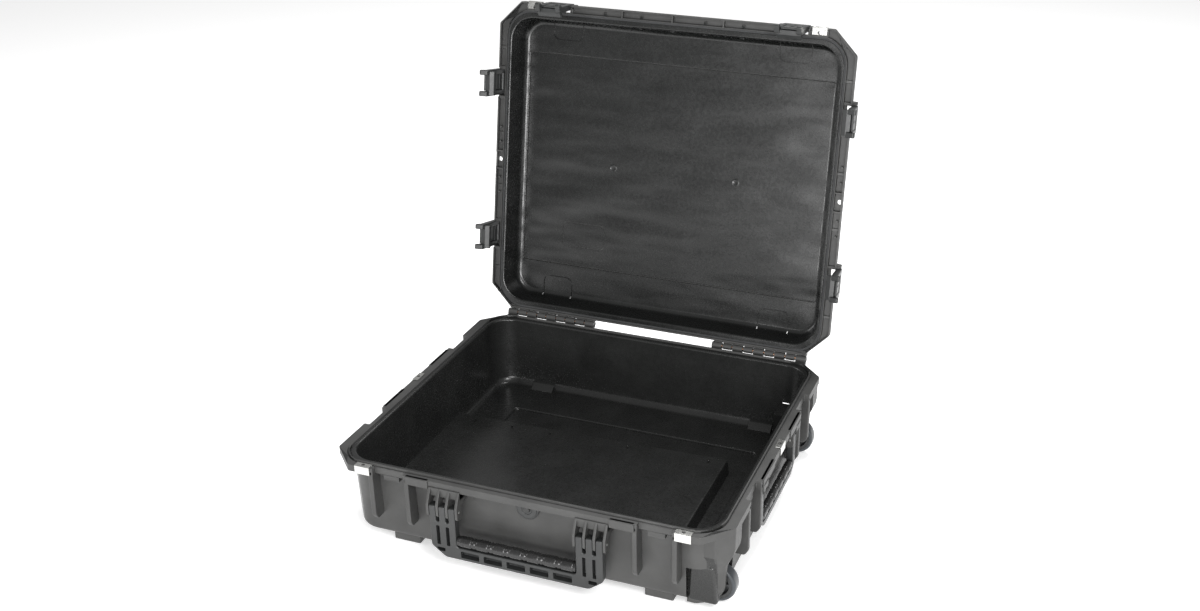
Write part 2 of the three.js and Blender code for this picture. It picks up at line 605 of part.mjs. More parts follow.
// ---- handles ------------------------------------------------------------------------------------
/** Carry handle hanging from its pins, with the core rod that its rubber grip is moulded on. */
function handleFrame(spec) {
  const { halfWidth, fingers, finger, thick, top, core, grip, gripDrop, bottom, windows } = spec;
  const { slot, pinRadius } = HANDLE;
  const inner = halfWidth - armWidth(spec);
  const half = thick / 2;
  const sill = -(gripDrop + grip + 0.5);
  const plate = prism('xz', [
    [-halfWidth, top, 4], [-halfWidth, 18 - bottom, 8], [-halfWidth + 24, -bottom, 12],
    [halfWidth - 24, -bottom, 12], [halfWidth, 18 - bottom, 8], [halfWidth, top, 4],
    [inner, top, 4], [inner, sill, 1.5], [-inner, sill, 1.5], [-inner, top, 4],
  ], -half, half);
  const cuts = [];
  for (const side of SIDES) {
    for (let k = 1; k < fingers; k += 1) {
      const x = side * armCentre(spec) + (k - fingers / 2) * (finger + slot);
      cuts.push(block(x - slot / 2, x + slot / 2, -half - 1, half + 1, -20, 10));
      cuts.push(block(x - 3, x + 3, -half - 1, half - 4, -62, -27));
    }
  }
  const pitch = (2 * inner - 6) / windows;
  for (let k = 0; k < windows; k += 1) {
    const x = (k - (windows - 1) / 2) * pitch;
    cuts.push(block(x - pitch / 2 + 4, x + pitch / 2 - 4, -half - 1, half - 4, 5 - bottom, sill - 5));
  }
  cuts.push(rod('x', pinRadius + GAP, 2 * halfWidth + 10, 0, 0, 0, 8));
  return cut(plate, cuts).add(rod('x', core, 2 * inner + 4, 0, 0, -gripDrop, 12));
}

/** Ribbed rubber sleeve around the handle's core rod. */
function handleGrip(spec) {
  const { halfWidth, core, grip, gripDrop } = spec;
  const length = 2 * (halfWidth - armWidth(spec)) - 2;
  const rings = Math.round(length / 30);
  const bore = core + 0.5;
  const low = grip - 1;
  const profile = [[bore, 0], [low, 0]];
  for (let k = 0; k < rings; k += 1) {
    const start = (k + 0.15) * length / rings;
    const end = (k + 0.85) * length / rings;
    profile.push([low, start], [grip, start + 1], [grip, end - 1], [low, end]);
  }
  profile.push([low, length], [bore, length], [bore, 0]);
  const sleeve = new THREE.LatheGeometry(profile.map(([r, h]) => new THREE.Vector2(r, h)), 12);
  sleeve.rotateZ(-Math.PI / 2);
  sleeve.translate(-length / 2, 0, -gripDrop);
  return solid(sleeve);
}

function handleGroup(name, spec, x, y, turn) {
  const pinLength = armWidth(spec) + 2 * HANDLE.slot;
  const pins = SIDES.map((side, index) => {
    const label = (turn === 0 ? ['left', 'right'] : ['front', 'rear'])[index];
    const pin = part(`${name}_pin_${label}`, crossPin(pinLength, HANDLE.pinRadius), STEEL);
    pin.position.x = side * armCentre(spec);
    return pin;
  });
  return placed(x, y, RIM_Z - HANDLE.drop, turn, [
    part(`${name}_frame`, handleFrame(spec), PLASTIC),
    part(`${name}_grip`, handleGrip(spec), GRIP_RUBBER),
    ...pins,
  ]);
}

// ---- wheels -------------------------------------------------------------------------------------
/** Hub with five openings between its spokes, around the Z axis. */
function wheelHub() {
  const { radius, width, bore } = WHEEL;
  const rim = turned([[bore + GAP, -width / 2], [radius - 6, -width / 2], [radius - 6, width / 2],
    [bore + GAP, width / 2], [bore + GAP, -width / 2]], 24);
  const openings = [];
  for (let k = 0; k < 5; k += 1) {
    const angle = k * 2 * Math.PI / 5;
    openings.push(rod('z', 5, width + 2, 16 * Math.cos(angle), 16 * Math.sin(angle), 0, 8));
  }
  return cut(rim, openings);
}

function tyre() {
  const { radius, width } = WHEEL;
  const half = width / 2;
  return turned([
    [radius - 5.7, -half], [radius - 2, -half], [radius, -half + 4], [radius, half - 4], [radius - 2, half],
    [radius - 5.7, half], [radius - 5.7, -half],
  ], 24);
}

/** Axle screw with a low round head outside the cheek, along Z with its head at +Z. */
function axleScrew() {
  const { bore, width } = WHEEL;
  const head = WELL.cheek - WHEEL.y + GAP;
  return turned([
    [0, -width / 2 - 4], [bore, -width / 2 - 4], [bore, head], [6, head], [6, head + 2], [0, head + 3],
  ], 12);
}

function wheelGroup(name, side) {
  const group = placed(WHEEL.x, side * WHEEL.y, WHEEL.z, 0, [
    part(`${name}_hub`, wheelHub(), LATCH_PLASTIC),
    part(`${name}_tyre`, tyre(), TYRE_RUBBER),
    part(`${name}_axle`, axleScrew(), STEEL),
  ]);
  group.rotation.x = side > 0 ? -Math.PI / 2 : Math.PI / 2;
  return group;
}

// ---- tow handle ---------------------------------------------------------------------------------
const TUBE = { outerY: 22, outerZ: 15, innerY: 18, innerZ: 11.6, wall: 1.2 };

/** Rectangular tube along X, open at both ends. */
function tube(x0, x1, sizeY, sizeZ) {
  const outer = block(x0, x1, -sizeY / 2, sizeY / 2, -sizeZ / 2, sizeZ / 2);
  const { wall } = TUBE;
  const y = sizeY / 2 - wall;
  const z = sizeZ / 2 - wall;
  return outer.subtract(block(x0 - 1, x1 + 1, -y, y, -z, z));
}

/** Pull bar with two legs, its finger space towards the case. */
function towGrip() {
  const { halfWidth, legY } = TOW;
  const bar = prism('xy', [
    [-332, -halfWidth, 9], [-332, halfWidth, 9], [-288, halfWidth, 5],
    [-288, legY - 13], [-314, legY - 13, 6],
    [-314, -legY + 13, 6], [-288, -legY + 13], [-288, -halfWidth, 5],
  ], -9, 9);
  return cut(bar, [block(-333, -313, -17.4, 17.4, -5.4, 5.4)]);
}

function towGroup() {
  const { y, z, legY, travelTube } = TOW;
  const group = placed(0, y, z, 0, [
    part('tow_grip', towGrip(), LATCH_PLASTIC),
    part('tow_button', block(-335, -319, -17, 17, -5, 5), GRIP_RUBBER),
  ]);
  SIDES.forEach((side, index) => {
    const label = ['front', 'rear'][index];
    const sliding = tube(-287.7, -287.7 + travelTube, TUBE.innerY, TUBE.innerZ);
    const inner = part(`tow_inner_tube_${label}`, sliding, ALUMINIUM);
    const outer = part(`tow_outer_tube_${label}`, tube(-278, 196, TUBE.outerY, TUBE.outerZ), ALUMINIUM);
    inner.position.y = side * legY;
    outer.position.y = side * legY;
    group.add(inner, outer);
  });
  return group;
}

function towCover() {
  const { right, front, back, skin } = TUNNEL;
  const plate = block(-284, right - skin - 0.5, front + skin + 0.5, back - skin - 0.5, FOOT, FOOT + 3);
  return cut(plate, COVER_SCREWS.map(([x, y]) => rod('z', 2.6, 10, x, y, FOOT, 8)));
}

/** Pan-head screw pointing up. */
const coverScrew = () => turned([[0, -2.3], [3.2, -2.3], [4.2, 0], [1.5, 0], [1.5, 9], [0, 10]], 8);

// ---- metal trim, valve --------------------------------------------------------------------------
/** Folded steel plate with a padlock hole, made for the front edge at x = 0, its flange's face at z = 0. */
function padlockPlate({ over, holeY, hole }, drop) {
  const { half, thick } = HASP;
  const top = GAP + thick;
  const outer = -GAP - thick;
  const flat = block(-half, half, outer, over, GAP, top);
  const down = block(-half, half, outer, -GAP, -drop, top);
  return flat.add(down).subtract(rod('z', hole, 6, 0, holeY, 1, 12));
}

const PLATE_SPOTS = [
  { name: 'padlock_plate_front_left', x: -HASP.x, y: FLANGE.front, turn: OUTWARD.front },
  { name: 'padlock_plate_front_right', x: HASP.x, y: FLANGE.front, turn: OUTWARD.front },
  { name: 'padlock_plate_left', x: -FLANGE.x, y: 0, turn: OUTWARD.left },
  { name: 'padlock_plate_right', x: FLANGE.x, y: 0, turn: OUTWARD.right },
];

/** Padlock holes through the base's flange. */
const haspHoles = () => PLATE_SPOTS.map((spot) => (
  atBay(rod('z', HASP.hole, 40, 0, HASP.holeY, 0, 12), spot, RIM_Z)));

/** Wider padlock holes in the lid's flange, over those of the base. */
function lidHaspHoles() {
  const { holeY, hole, sideY, sideHole } = LID_HASP;
  const front = holeY + FLANGE.lidFront - FLANGE.front;
  return PLATE_SPOTS.map((spot) => (spot.turn === OUTWARD.front
    ? atBay(rod('z', hole, 40, 0, front, 0, 12), spot, RIM_Z)
    : atBay(rod('z', sideHole, 40, 0, sideY, 0, 16), spot, RIM_Z)));
}

const basePlates = () => PLATE_SPOTS.map(({ name, x, y, turn }) => (
  placed(x, y, RIM_Z, turn, [part(name, padlockPlate(HASP, FLANGE.height + 1), STEEL)])
));

/** The lid's front plates lie on seats in its flange, facing the base's plates, and fold over its edge. */
function lidPlates() {
  return SIDES.map((side, index) => {
    const body = padlockPlate(LID_HASP, FLANGE.height - LID_HASP.seat);
    const plate = part(`lid_plate_${['left', 'right'][index]}`, body, STEEL);
    plate.rotation.y = Math.PI;
    return placed(side * HASP.x, FLANGE.lidFront, RIM_Z + LID_HASP.seat, OUTWARD.front, [plate]);
  });
}

function valveMeshes() {
  const { x, z, bore } = VALVE;
  const body = turned([
    [5.3, 0.3], [19, 0.3], [19, 3], [17, 5], [5.3, 5], [5.3, 0.3],
  ], 20);
  const core = turned([[0, -8], [bore - 0.5, -8], [bore - 0.5, 0], [5, 0], [5, 6.5], [0, 7]], 12);
  const group = placed(x, WALL.front, z, 0, [
    part('pressure_valve_ring', body, LATCH_PLASTIC),
    part('pressure_valve_core', core, GRIP_RUBBER),
  ]);
  group.rotation.x = Math.PI / 2;
  return group;
}

// ---- assembly -----------------------------------------------------------------------------------
const equipmentCase = new THREE.Group();
equipmentCase.position.y = -MIDDLE_Y;
equipmentCase.add(part('base_shell', baseShell(), PLASTIC));

const lid = new THREE.Group();
lid.position.set(0, HINGE.y, HINGE.z);
lid.rotation.x = -OPEN_ANGLE;
const closedLid = placed(0, -HINGE.y, -HINGE.z, 0, [
  part('lid_shell', lidShell(), PLASTIC),
  part('lid_gasket', lidGasket(), SEAL_RUBBER),
  ...lidPlates(),
  ...BAYS.map(latchGroup),
]);
lid.add(closedLid);
equipmentCase.add(lid);

SIDES.forEach((side, index) => {
  const pin = part(`hinge_pin_${['left', 'right'][index]}`, crossPin(178, HINGE.pin), COPPER_STEEL);
  pin.position.set(side * 207.5, HINGE.y, HINGE.z);
  equipmentCase.add(pin);
});

equipmentCase.add(
  handleGroup('front_handle', FRONT_HANDLE, 0, FLANGE.front - FRONT_HANDLE.out, OUTWARD.front),
  handleGroup('side_handle', SIDE_HANDLE, FLANGE.x + SIDE_HANDLE.out, 0, OUTWARD.right),
  wheelGroup('front_wheel', -1),
  wheelGroup('rear_wheel', 1),
  ...basePlates(),
  valveMeshes(),
  towGroup(),
  part('tow_channel_cover', towCover(), PLASTIC),
  ...COVER_SCREWS.map(([x, y], index) => (
    placed(x, y, FOOT - GAP, 0, [part(`cover_screw_${index + 1}`, coverScrew(), STEEL)]))),
);

export default equipmentCase;
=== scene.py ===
"""Looks of the wheeled equipment case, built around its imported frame.

Shapes are written in millimetres from the middle of the base (the lid as if closed) and turned into
the row frame, in metres, by the matrices CASE and LID.
"""
import json
import math

import bmesh
import bpy
from mathutils import Matrix, Vector


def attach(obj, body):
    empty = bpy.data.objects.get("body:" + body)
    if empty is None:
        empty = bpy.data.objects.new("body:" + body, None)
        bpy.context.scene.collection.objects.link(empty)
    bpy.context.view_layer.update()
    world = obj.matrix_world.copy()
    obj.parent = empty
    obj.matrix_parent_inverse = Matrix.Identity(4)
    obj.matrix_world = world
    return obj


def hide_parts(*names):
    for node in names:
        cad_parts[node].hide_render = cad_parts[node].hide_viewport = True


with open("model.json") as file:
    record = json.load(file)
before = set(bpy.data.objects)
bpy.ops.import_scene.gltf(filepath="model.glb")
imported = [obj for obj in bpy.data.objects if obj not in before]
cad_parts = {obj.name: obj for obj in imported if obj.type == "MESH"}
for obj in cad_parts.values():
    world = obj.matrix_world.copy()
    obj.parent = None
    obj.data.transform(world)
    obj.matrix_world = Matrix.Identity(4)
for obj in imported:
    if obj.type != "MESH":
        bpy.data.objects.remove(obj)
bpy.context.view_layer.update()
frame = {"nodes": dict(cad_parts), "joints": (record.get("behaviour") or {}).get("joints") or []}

# ---- places taken from the frame ----
JOINTS = {joint["name"]: joint for joint in frame["joints"]}
HINGE_Y = 293.5  # lid hinge, from the middle of the base
HINGE_Z = JOINTS["lid_hinge"]["pos_m"][2] * 1000
MIDDLE_Y = HINGE_Y - JOINTS["lid_hinge"]["pos_m"][1] * 1000
OPEN_ANGLE = math.radians(JOINTS["lid_hinge"]["range_deg"][1])
CASE = Matrix.Scale(0.001, 4) @ Matrix.Translation((0, -MIDDLE_Y, 0))
LID = (CASE @ Matrix.Translation((0, HINGE_Y, HINGE_Z)) @ Matrix.Rotation(-OPEN_ANGLE, 4, "X")
       @ Matrix.Translation((0, -HINGE_Y, -HINGE_Z)))

# ---- driving dimensions, millimetres ----
RIM = 150.0
FLANGE_X, FLANGE_FRONT, FLANGE_BACK = 335.0, -291.0, 285.0
LID_FRONT = -296.5
SKIRT = 2.8
FLANGE_CHAMFER, FLANGE_HEIGHT = 42.0, 12.0
WALL_OUT = (641.4, 565.4, 48.7)  # upper end of the tub's and the lid's wall, where the flange starts
OPENING = (618, 535, 42)
RIDGE = (634, 558, 45)
LID_FACE = RIM + 0.3
LID_TOP = RIM + 55.5
BAY_X, BAY_Y, BAY_HALF = 222.0, 145.0, 31.5
NOTCH_HALF, NOTCH_DEPTH = 27.0, 9.5
LATCH_OUT, LATCH_UP, LATCH_HALF = 1.0, 22.0, 24.0
HANDLE_DROP, HANDLE_SLOT = 42.0, 5.5
FRONT_HANDLE = dict(half=145, fingers=3, finger=11, out=6, thick=14, top=8, grip=9, drop=52.5, bottom=84)
SIDE_HANDLE = dict(half=105, fingers=1, finger=16, out=-9.5, thick=12, top=5, grip=7, drop=46, bottom=64)
WHEEL_X, WHEEL_Y, WHEEL_Z, WHEEL_R, WHEEL_W = 301.5, 228.0, 34.0, 32.0, 20.0
WELL_X, WELL_TOP, WELL_IN, WELL_OUT, CHEEK = 264.0, 73.0, 214.0, 241.0, 256.0
TOW_Y, TOW_Z, TOW_HALF, TOW_LEG = -7.0, 21.0, 80.0, 62.0
HASP_X, HASP_HALF = 267.0, 13.0
BASE_HASP = dict(over=9.5, hole_y=4.4, hole=2.8)
LID_HASP = dict(over=12, hole_y=8.5, hole=3.2)
LID_SEAT = 3.5

SIDES = (-1, 1)
TURN = {"front": 0.0, "right": math.pi / 2, "left": -math.pi / 2}
BAYS = {
    "front_left": (-BAY_X, FLANGE_FRONT, TURN["front"]),
    "front_right": (BAY_X, FLANGE_FRONT, TURN["front"]),
    "left_front": (-FLANGE_X, -BAY_Y, TURN["left"]),
    "left_rear": (-FLANGE_X, BAY_Y, TURN["left"]),
    "right_front": (FLANGE_X, -BAY_Y, TURN["right"]),
    "right_rear": (FLANGE_X, BAY_Y, TURN["right"]),
}
# How far a hanging latch leans towards the case's middle.
LEAN = {"front": math.radians(5), "side": math.radians(-4)}


def bay_matrix(x, y, turn, z=0.0):
    """Moves a shape made for the front edge (outward -Y) to a place on the front or a side."""
    return Matrix.Translation((x, y, z)) @ Matrix.Rotation(turn, 4, "Z")


# ---- mesh helpers ----
def soften(bm, width, segments=3, angle=28):
    """Rounds every edge sharper than the angle."""
    if width <= 0:
        return
    bm.normal_update()
    limit = math.radians(angle)
    edges = [e for e in bm.edges if len(e.link_faces) == 2 and e.calc_face_angle(0) > limit]
    bmesh.ops.bevel(bm, geom=edges, offset=width, segments=segments, profile=0.5, affect="EDGES",
                    clamp_overlap=True)


def rounded(corners, steps=5):
    """Outline through corners (u, v) or (u, v, radius), with arcs at the rounded ones."""
    points = []
    for k, corner in enumerate(corners):
        here = Vector(corner[:2])
        radius = corner[2] if len(corner) > 2 else 0
        if radius <= 0:
            points.append((here.x, here.y))
            continue
        before = (Vector(corners[k - 1][:2]) - here).normalized()
        after = (Vector(corners[(k + 1) % len(corners)][:2]) - here).normalized()
        half = before.angle(after) / 2
        reach = radius / math.tan(half)
        centre = here + (before + after).normalized() * radius / math.sin(half)
        start = here + before * reach - centre
        end = here + after * reach - centre
        sweep = start.angle_signed(end)
        for step in range(steps + 1):
            spoke = start.copy()
            spoke.rotate(Matrix.Rotation(-sweep * step / steps, 2))
            points.append((centre.x + spoke.x, centre.y + spoke.y))
    return points


AXES = {
    "xy": lambda u, v, w: (u, v, w),
    "xz": lambda u, v, w: (u, w, v),
    "yz": lambda u, v, w: (w, u, v),
}


def prism(outline, plane, low, high, soft=1.0, segments=3):
    """Prism over an outline in plane 'xy', 'xz' or 'yz', its edges rounded."""
    bm = bmesh.new()
    place = AXES[plane]
    rows = [[bm.verts.new(place(u, v, w)) for u, v in outline] for w in (low, high)]
    bm.faces.new(rows[0])
    bm.faces.new(rows[1])
    count = len(outline)
    for k in range(count):
        bm.faces.new((rows[0][k], rows[0][(k + 1) % count], rows[1][(k + 1) % count], rows[1][k]))
    bmesh.ops.recalc_face_normals(bm, faces=bm.faces)
    soften(bm, soft, segments)
    return bm


def block(x0, x1, y0, y1, z0, z1, soft=1.0, segments=3):
    return prism([(x0, y0), (x1, y0), (x1, y1), (x0, y1)], "xy", z0, z1, soft, segments)


def ring(width, depth, radius, z, cx=0.0, cy=0.0, steps=8):
    """Points of a rounded rectangle around the Z axis."""
    points = []
    for quarter in range(4):
        right = 1 if quarter in (0, 3) else -1
        back = 1 if quarter < 2 else -1
        for step in range(steps + 1):
            angle = (quarter + step / steps) * math.pi / 2
            points.append((cx + right * (width / 2 - radius) + radius * math.cos(angle),
                           cy + back * (depth / 2 - radius) + radius * math.sin(angle), z))
    return points


def widened(size, out, z):
    """Ring of a stated width, depth and radius, widened by out in all."""
    width, depth, radius = size
    return ring(width + out, depth + out, radius + out / 2, z)


def loft(rings, closed=False):
    """Skin through rings with equal numbers of points: ends capped, or closed into a loop."""
    bm = bmesh.new()
    rows = [[bm.verts.new(point) for point in points] for points in rings]
    count = len(rows[0])
    pairs = list(zip(rows, rows[1:])) + ([(rows[-1], rows[0])] if closed else [])
    for below, above in pairs:
        for k in range(count):
            bm.faces.new((below[k], below[(k + 1) % count], above[(k + 1) % count], above[k]))
    if not closed:
        bm.faces.new(rows[0])
        bm.faces.new(rows[-1])
    bmesh.ops.recalc_face_normals(bm, faces=bm.faces)
    return bm


def turned(profile, steps=40, matrix=None):
    """Turned body around Z from (radius, height) points; its ends lie on the axis or meet."""
    bm = bmesh.new()
    closed = profile[0][0] > 0
    rows = []
    for radius, height in profile:
        if radius <= 0:
            rows.append([bm.verts.new((0, 0, height))])
            continue
        rows.append([bm.verts.new((radius * math.cos(a), radius * math.sin(a), height))
                     for a in (2 * math.pi * k / steps for k in range(steps))])
    pairs = list(zip(rows, rows[1:])) + ([(rows[-1], rows[0])] if closed else [])
    for below, above in pairs:
        for k in range(steps):
            j = (k + 1) % steps
            quad = [row[n % len(row)] for row, n in ((below, k), (below, j), (above, j), (above, k))]
            unique = list(dict.fromkeys(quad))
            if len(unique) > 2:
                bm.faces.new(unique)
    bmesh.ops.recalc_face_normals(bm, faces=bm.faces)
    if matrix:
        bmesh.ops.transform(bm, matrix=matrix, verts=bm.verts)
    return bm


TO_AXIS = {
    "x": Matrix.Rotation(math.pi / 2, 4, "Y"),
    "y": Matrix.Rotation(-math.pi / 2, 4, "X"),
    "z": Matrix.Identity(4),
}


def rod(axis, radius, length, x, y, z, soft=0.5, steps=24):
    """Round bar with rounded ends along an axis, centred at a point."""
    half = length / 2
    flat, shoulder = radius - soft, radius - soft * 0.3
    profile = [(0, -half), (flat, -half), (shoulder, -half + soft * 0.3), (radius, -half + soft),
               (radius, half - soft), (shoulder, half - soft * 0.3), (flat, half), (0, half)]
    return turned(profile, steps, Matrix.Translation((x, y, z)) @ TO_AXIS[axis])


def cut(bm, *tools):
    """Takes tool solids away from a solid."""
    for tool in tools:
        body = temporary(bm)
        cutter = temporary(tool)
        modifier = body.modifiers.new("cut", "BOOLEAN")
        modifier.operation = "DIFFERENCE"
        modifier.solver = "EXACT"
        modifier.object = cutter
        depsgraph = bpy.context.evaluated_depsgraph_get()
        result = bpy.data.meshes.new_from_object(body.evaluated_get(depsgraph))
        bm = bmesh.new()
        bm.from_mesh(result)
        bpy.data.meshes.remove(result)
        for thing in (body, cutter):
            mesh = thing.data
            bpy.data.objects.remove(thing)
            bpy.data.meshes.remove(mesh)
    return bm


def temporary(bm):
    """Object in the scene that holds a solid for the time of one cut."""
    mesh = bpy.data.meshes.new("temporary")
    bm.to_mesh(mesh)
    bm.free()
    thing = bpy.data.objects.new("temporary", mesh)
    bpy.context.scene.collection.objects.link(thing)
    bpy.context.view_layer.update()
    return thing


def together(*solids):
    """One mesh from several solids; each may be a (solid, matrix) pair."""
    whole = bmesh.new()
    for item in solids:
        bm, matrix = item if isinstance(item, tuple) else (item, None)
        if matrix:
            bmesh.ops.transform(bm, matrix=matrix, verts=bm.verts)
        mesh = bpy.data.meshes.new("temporary")
        bm.to_mesh(mesh)
        bm.free()
        whole.from_mesh(mesh)
        bpy.data.meshes.remove(mesh)
    return whole


def piece(name, bm, material, body, replaces=(), matrix=CASE, sharp=38):
    """Puts a finished mesh into the row frame as one piece that rides on a body."""
    bmesh.ops.transform(bm, matrix=matrix, verts=bm.verts)
    bmesh.ops.recalc_face_normals(bm, faces=bm.faces)
    mesh = bpy.data.meshes.new(name)
    bm.to_mesh(mesh)
    bm.free()
    mesh.materials.append(material)
    mesh.polygons.foreach_set("use_smooth", [True] * len(mesh.polygons))
    mesh.set_sharp_from_angle(angle=math.radians(sharp))
    thing = bpy.data.objects.new(name, mesh)
    bpy.context.scene.collection.objects.link(thing)
    normals = thing.modifiers.new("normals", "WEIGHTED_NORMAL")
    normals.keep_sharp = True
    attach(thing, body)
    if replaces:
        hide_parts(*replaces)
    return thing


# ---- materials ----
def moulded(name, color, roughness, grain=0.25, grain_size=0.9, wave=0.0, wave_size=60, metallic=0.0,
            mottle=0.25, flatten=1.0):
    """Moulded or rolled surface: fine grain in the bump, slow changes of colour and roughness.

    Sizes are in millimetres. A wave bends the reflections; flatten makes it wider than tall.
    """
    spread = 0.06
    material = bpy.data.materials.new(name)
    material.use_nodes = True
    nodes, links = material.node_tree.nodes, material.node_tree.links
    shader = nodes["Principled BSDF"]
    shader.inputs["Metallic"].default_value = metallic
    place = nodes.new("ShaderNodeTexCoord")

    def noise(size_mm, detail, rough=0.55, upright=1.0):
        scale = nodes.new("ShaderNodeMapping")
        scale.inputs["Scale"].default_value = (1, 1, upright)
        links.new(place.outputs["Object"], scale.inputs["Vector"])
        node = nodes.new("ShaderNodeTexNoise")
        node.inputs["Scale"].default_value = 1000 / size_mm
        node.inputs["Detail"].default_value = detail
        node.inputs["Roughness"].default_value = rough
        links.new(scale.outputs["Vector"], node.inputs["Vector"])
        return node.outputs["Fac"]

    slow = noise(55, 4)
    ramp = nodes.new("ShaderNodeValToRGB")
    ramp.color_ramp.elements[0].position = 0.3
    ramp.color_ramp.elements[1].position = 0.72
    ramp.color_ramp.elements[0].color = (*[c * (1 - mottle) for c in color], 1)
    ramp.color_ramp.elements[1].color = (*[min(1, c * (1 + mottle)) for c in color], 1)
    links.new(slow, ramp.inputs["Fac"])
    links.new(ramp.outputs["Color"], shader.inputs["Base Color"])

    scuffs = noise(7, 6, 0.7)
    rough = nodes.new("ShaderNodeMapRange")
    rough.inputs["From Min"].default_value = 0.25
    rough.inputs["From Max"].default_value = 0.75
    rough.inputs["To Min"].default_value = roughness - spread
    rough.inputs["To Max"].default_value = roughness + spread
    links.new(scuffs, rough.inputs["Value"])
    links.new(rough.outputs["Result"], shader.inputs["Roughness"])

    bump = nodes.new("ShaderNodeBump")
    bump.inputs["Strength"].default_value = grain
    bump.inputs["Distance"].default_value = 0.0002
    links.new(noise(grain_size, 2), bump.inputs["Height"])
    if wave > 0:
        ripple = nodes.new("ShaderNodeBump")
        ripple.inputs["Strength"].default_value = wave
        ripple.inputs["Distance"].default_value = 0.004
        links.new(noise(wave_size, 1, 0.4, flatten), ripple.inputs["Height"])
        links.new(ripple.outputs["Normal"], bump.inputs["Normal"])
    links.new(bump.outputs["Normal"], shader.inputs["Normal"])
    return material


SHELL_OUT = moulded("shell_grained", (0.036, 0.036, 0.035), 0.5, grain=0.35, grain_size=0.8)
# Inside of the base: smooth finish, its colour a third of the outside's, which is painted shade.
SHELL_IN_SHADED = moulded("shell_smooth_painted_shade", (0.012, 0.0123, 0.012), 0.28, grain=0.04, grain_size=1.6,
                   wave=0.3, wave_size=75)
# Inside of the lid: smooth finish with a wave in its reflections, its colour darker than the outside's as
# painted shade.
LID_IN_SHADED = moulded("lid_smooth_painted_shade", (0.007, 0.0074, 0.0072), 0.27, grain=0.02,
                 wave=1.0, wave_size=150, flatten=3.4)
LATCH_PLASTIC = moulded("latch_satin", (0.019, 0.020, 0.020), 0.40, grain=0.2, grain_size=0.7)
GRIP_RUBBER = moulded("grip_rubber", (0.014, 0.014, 0.014), 0.27, grain=0.15, grain_size=0.6)
SEAL_RUBBER = moulded("seal_rubber", (0.035, 0.036, 0.037), 0.75, grain=0.5, grain_size=0.5)
WHEEL_RUBBER = moulded("wheel_rubber", (0.030, 0.034, 0.038), 0.32, grain=0.1, grain_size=0.8)
HUB_PLASTIC = moulded("hub_plastic", (0.018, 0.019, 0.020), 0.38, grain=0.15, grain_size=0.7)
STEEL = moulded("steel_bright", (0.60, 0.60, 0.58), 0.27, grain=0.08, grain_size=0.4,
                metallic=1.0, mottle=0.05)
SCREW_STEEL = moulded("screw_zinc", (0.45, 0.45, 0.44), 0.35, grain=0.1, grain_size=0.4,
                      metallic=1.0, mottle=0.1)
COPPER = moulded("pin_copper", (0.62, 0.36, 0.24), 0.33, grain=0.08, grain_size=0.4,
                 metallic=1.0, mottle=0.12)
ALUMINIUM = moulded("tube_aluminium", (0.55, 0.56, 0.57), 0.3, grain=0.15, grain_size=0.5,
                    metallic=1.0, mottle=0.06)
UNDER_PLASTIC = moulded("cover_grained", (0.028, 0.029, 0.029), 0.55, grain=0.4, grain_size=0.9)


# ---- shapes shared by base and lid ----
def flange_outline(front, inset=0.0, notched=True):
    """Outline of a flange: cut-off corners, and a notch in each latch bay."""
    x, back = FLANGE_X - inset, FLANGE_BACK - inset
    chamfer = FLANGE_CHAMFER - inset * 0.6
    low = front + inset

    def notch(centre, along, sign):
        """Corners of a notch around a centre, walked in direction sign along 'x' or 'y'."""
        corners = []
        for step, deep in ((-NOTCH_HALF, 0), (-NOTCH_HALF, 1), (NOTCH_HALF, 1), (NOTCH_HALF, 0)):
            if along == "x":
                corners.append((centre + sign * step, FLANGE_FRONT + NOTCH_DEPTH if deep else low, 1.5))
            else:
                corners.append((sign * (x - deep * NOTCH_DEPTH), centre + sign * step, 1.5))
        return corners if notched else []

    corners = [(-x + chamfer, low, 6)]
    corners += notch(-BAY_X, "x", 1) + notch(BAY_X, "x", 1)
    corners += [(x - chamfer, low, 6), (x, low + chamfer, 6)]
    corners += notch(-BAY_Y, "y", 1) + notch(BAY_Y, "y", 1)
    corners += [(x, back - chamfer, 6), (x - chamfer, back, 6)]
    corners += [(-x + chamfer, back, 6), (-x, back - chamfer, 6)]
    corners += notch(BAY_Y, "y", -1) + notch(-BAY_Y, "y", -1)
    corners += [(-x, low + chamfer, 6)]
    return rounded(corners, 3)


def annulus(outer, inner, low, high, soft):
    """Flat ring between two outlines, its outer and inner edges rounded."""
    bm = bmesh.new()
    edges = []
    for outline in (outer, inner):
        verts = [bm.verts.new((u, v, low)) for u, v in outline]
        edges += [bm.edges.new((verts[k], verts[(k + 1) % len(verts)])) for k in range(len(verts))]
    bmesh.ops.triangle_fill(bm, use_beauty=True, use_dissolve=False, edges=edges)
    extruded = bmesh.ops.extrude_face_region(bm, geom=bm.faces[:])
    top = [g for g in extruded["geom"] if isinstance(g, bmesh.types.BMVert)]
    bmesh.ops.translate(bm, vec=(0, 0, high - low), verts=top)
    bmesh.ops.recalc_face_normals(bm, faces=bm.faces)
    soften(bm, soft, 3, 50)
    return bm


def flat_ring(width, depth, radius):
    """Outline of a rounded rectangle."""
    return [(x, y) for x, y, _ in ring(width, depth, radius, 0)]


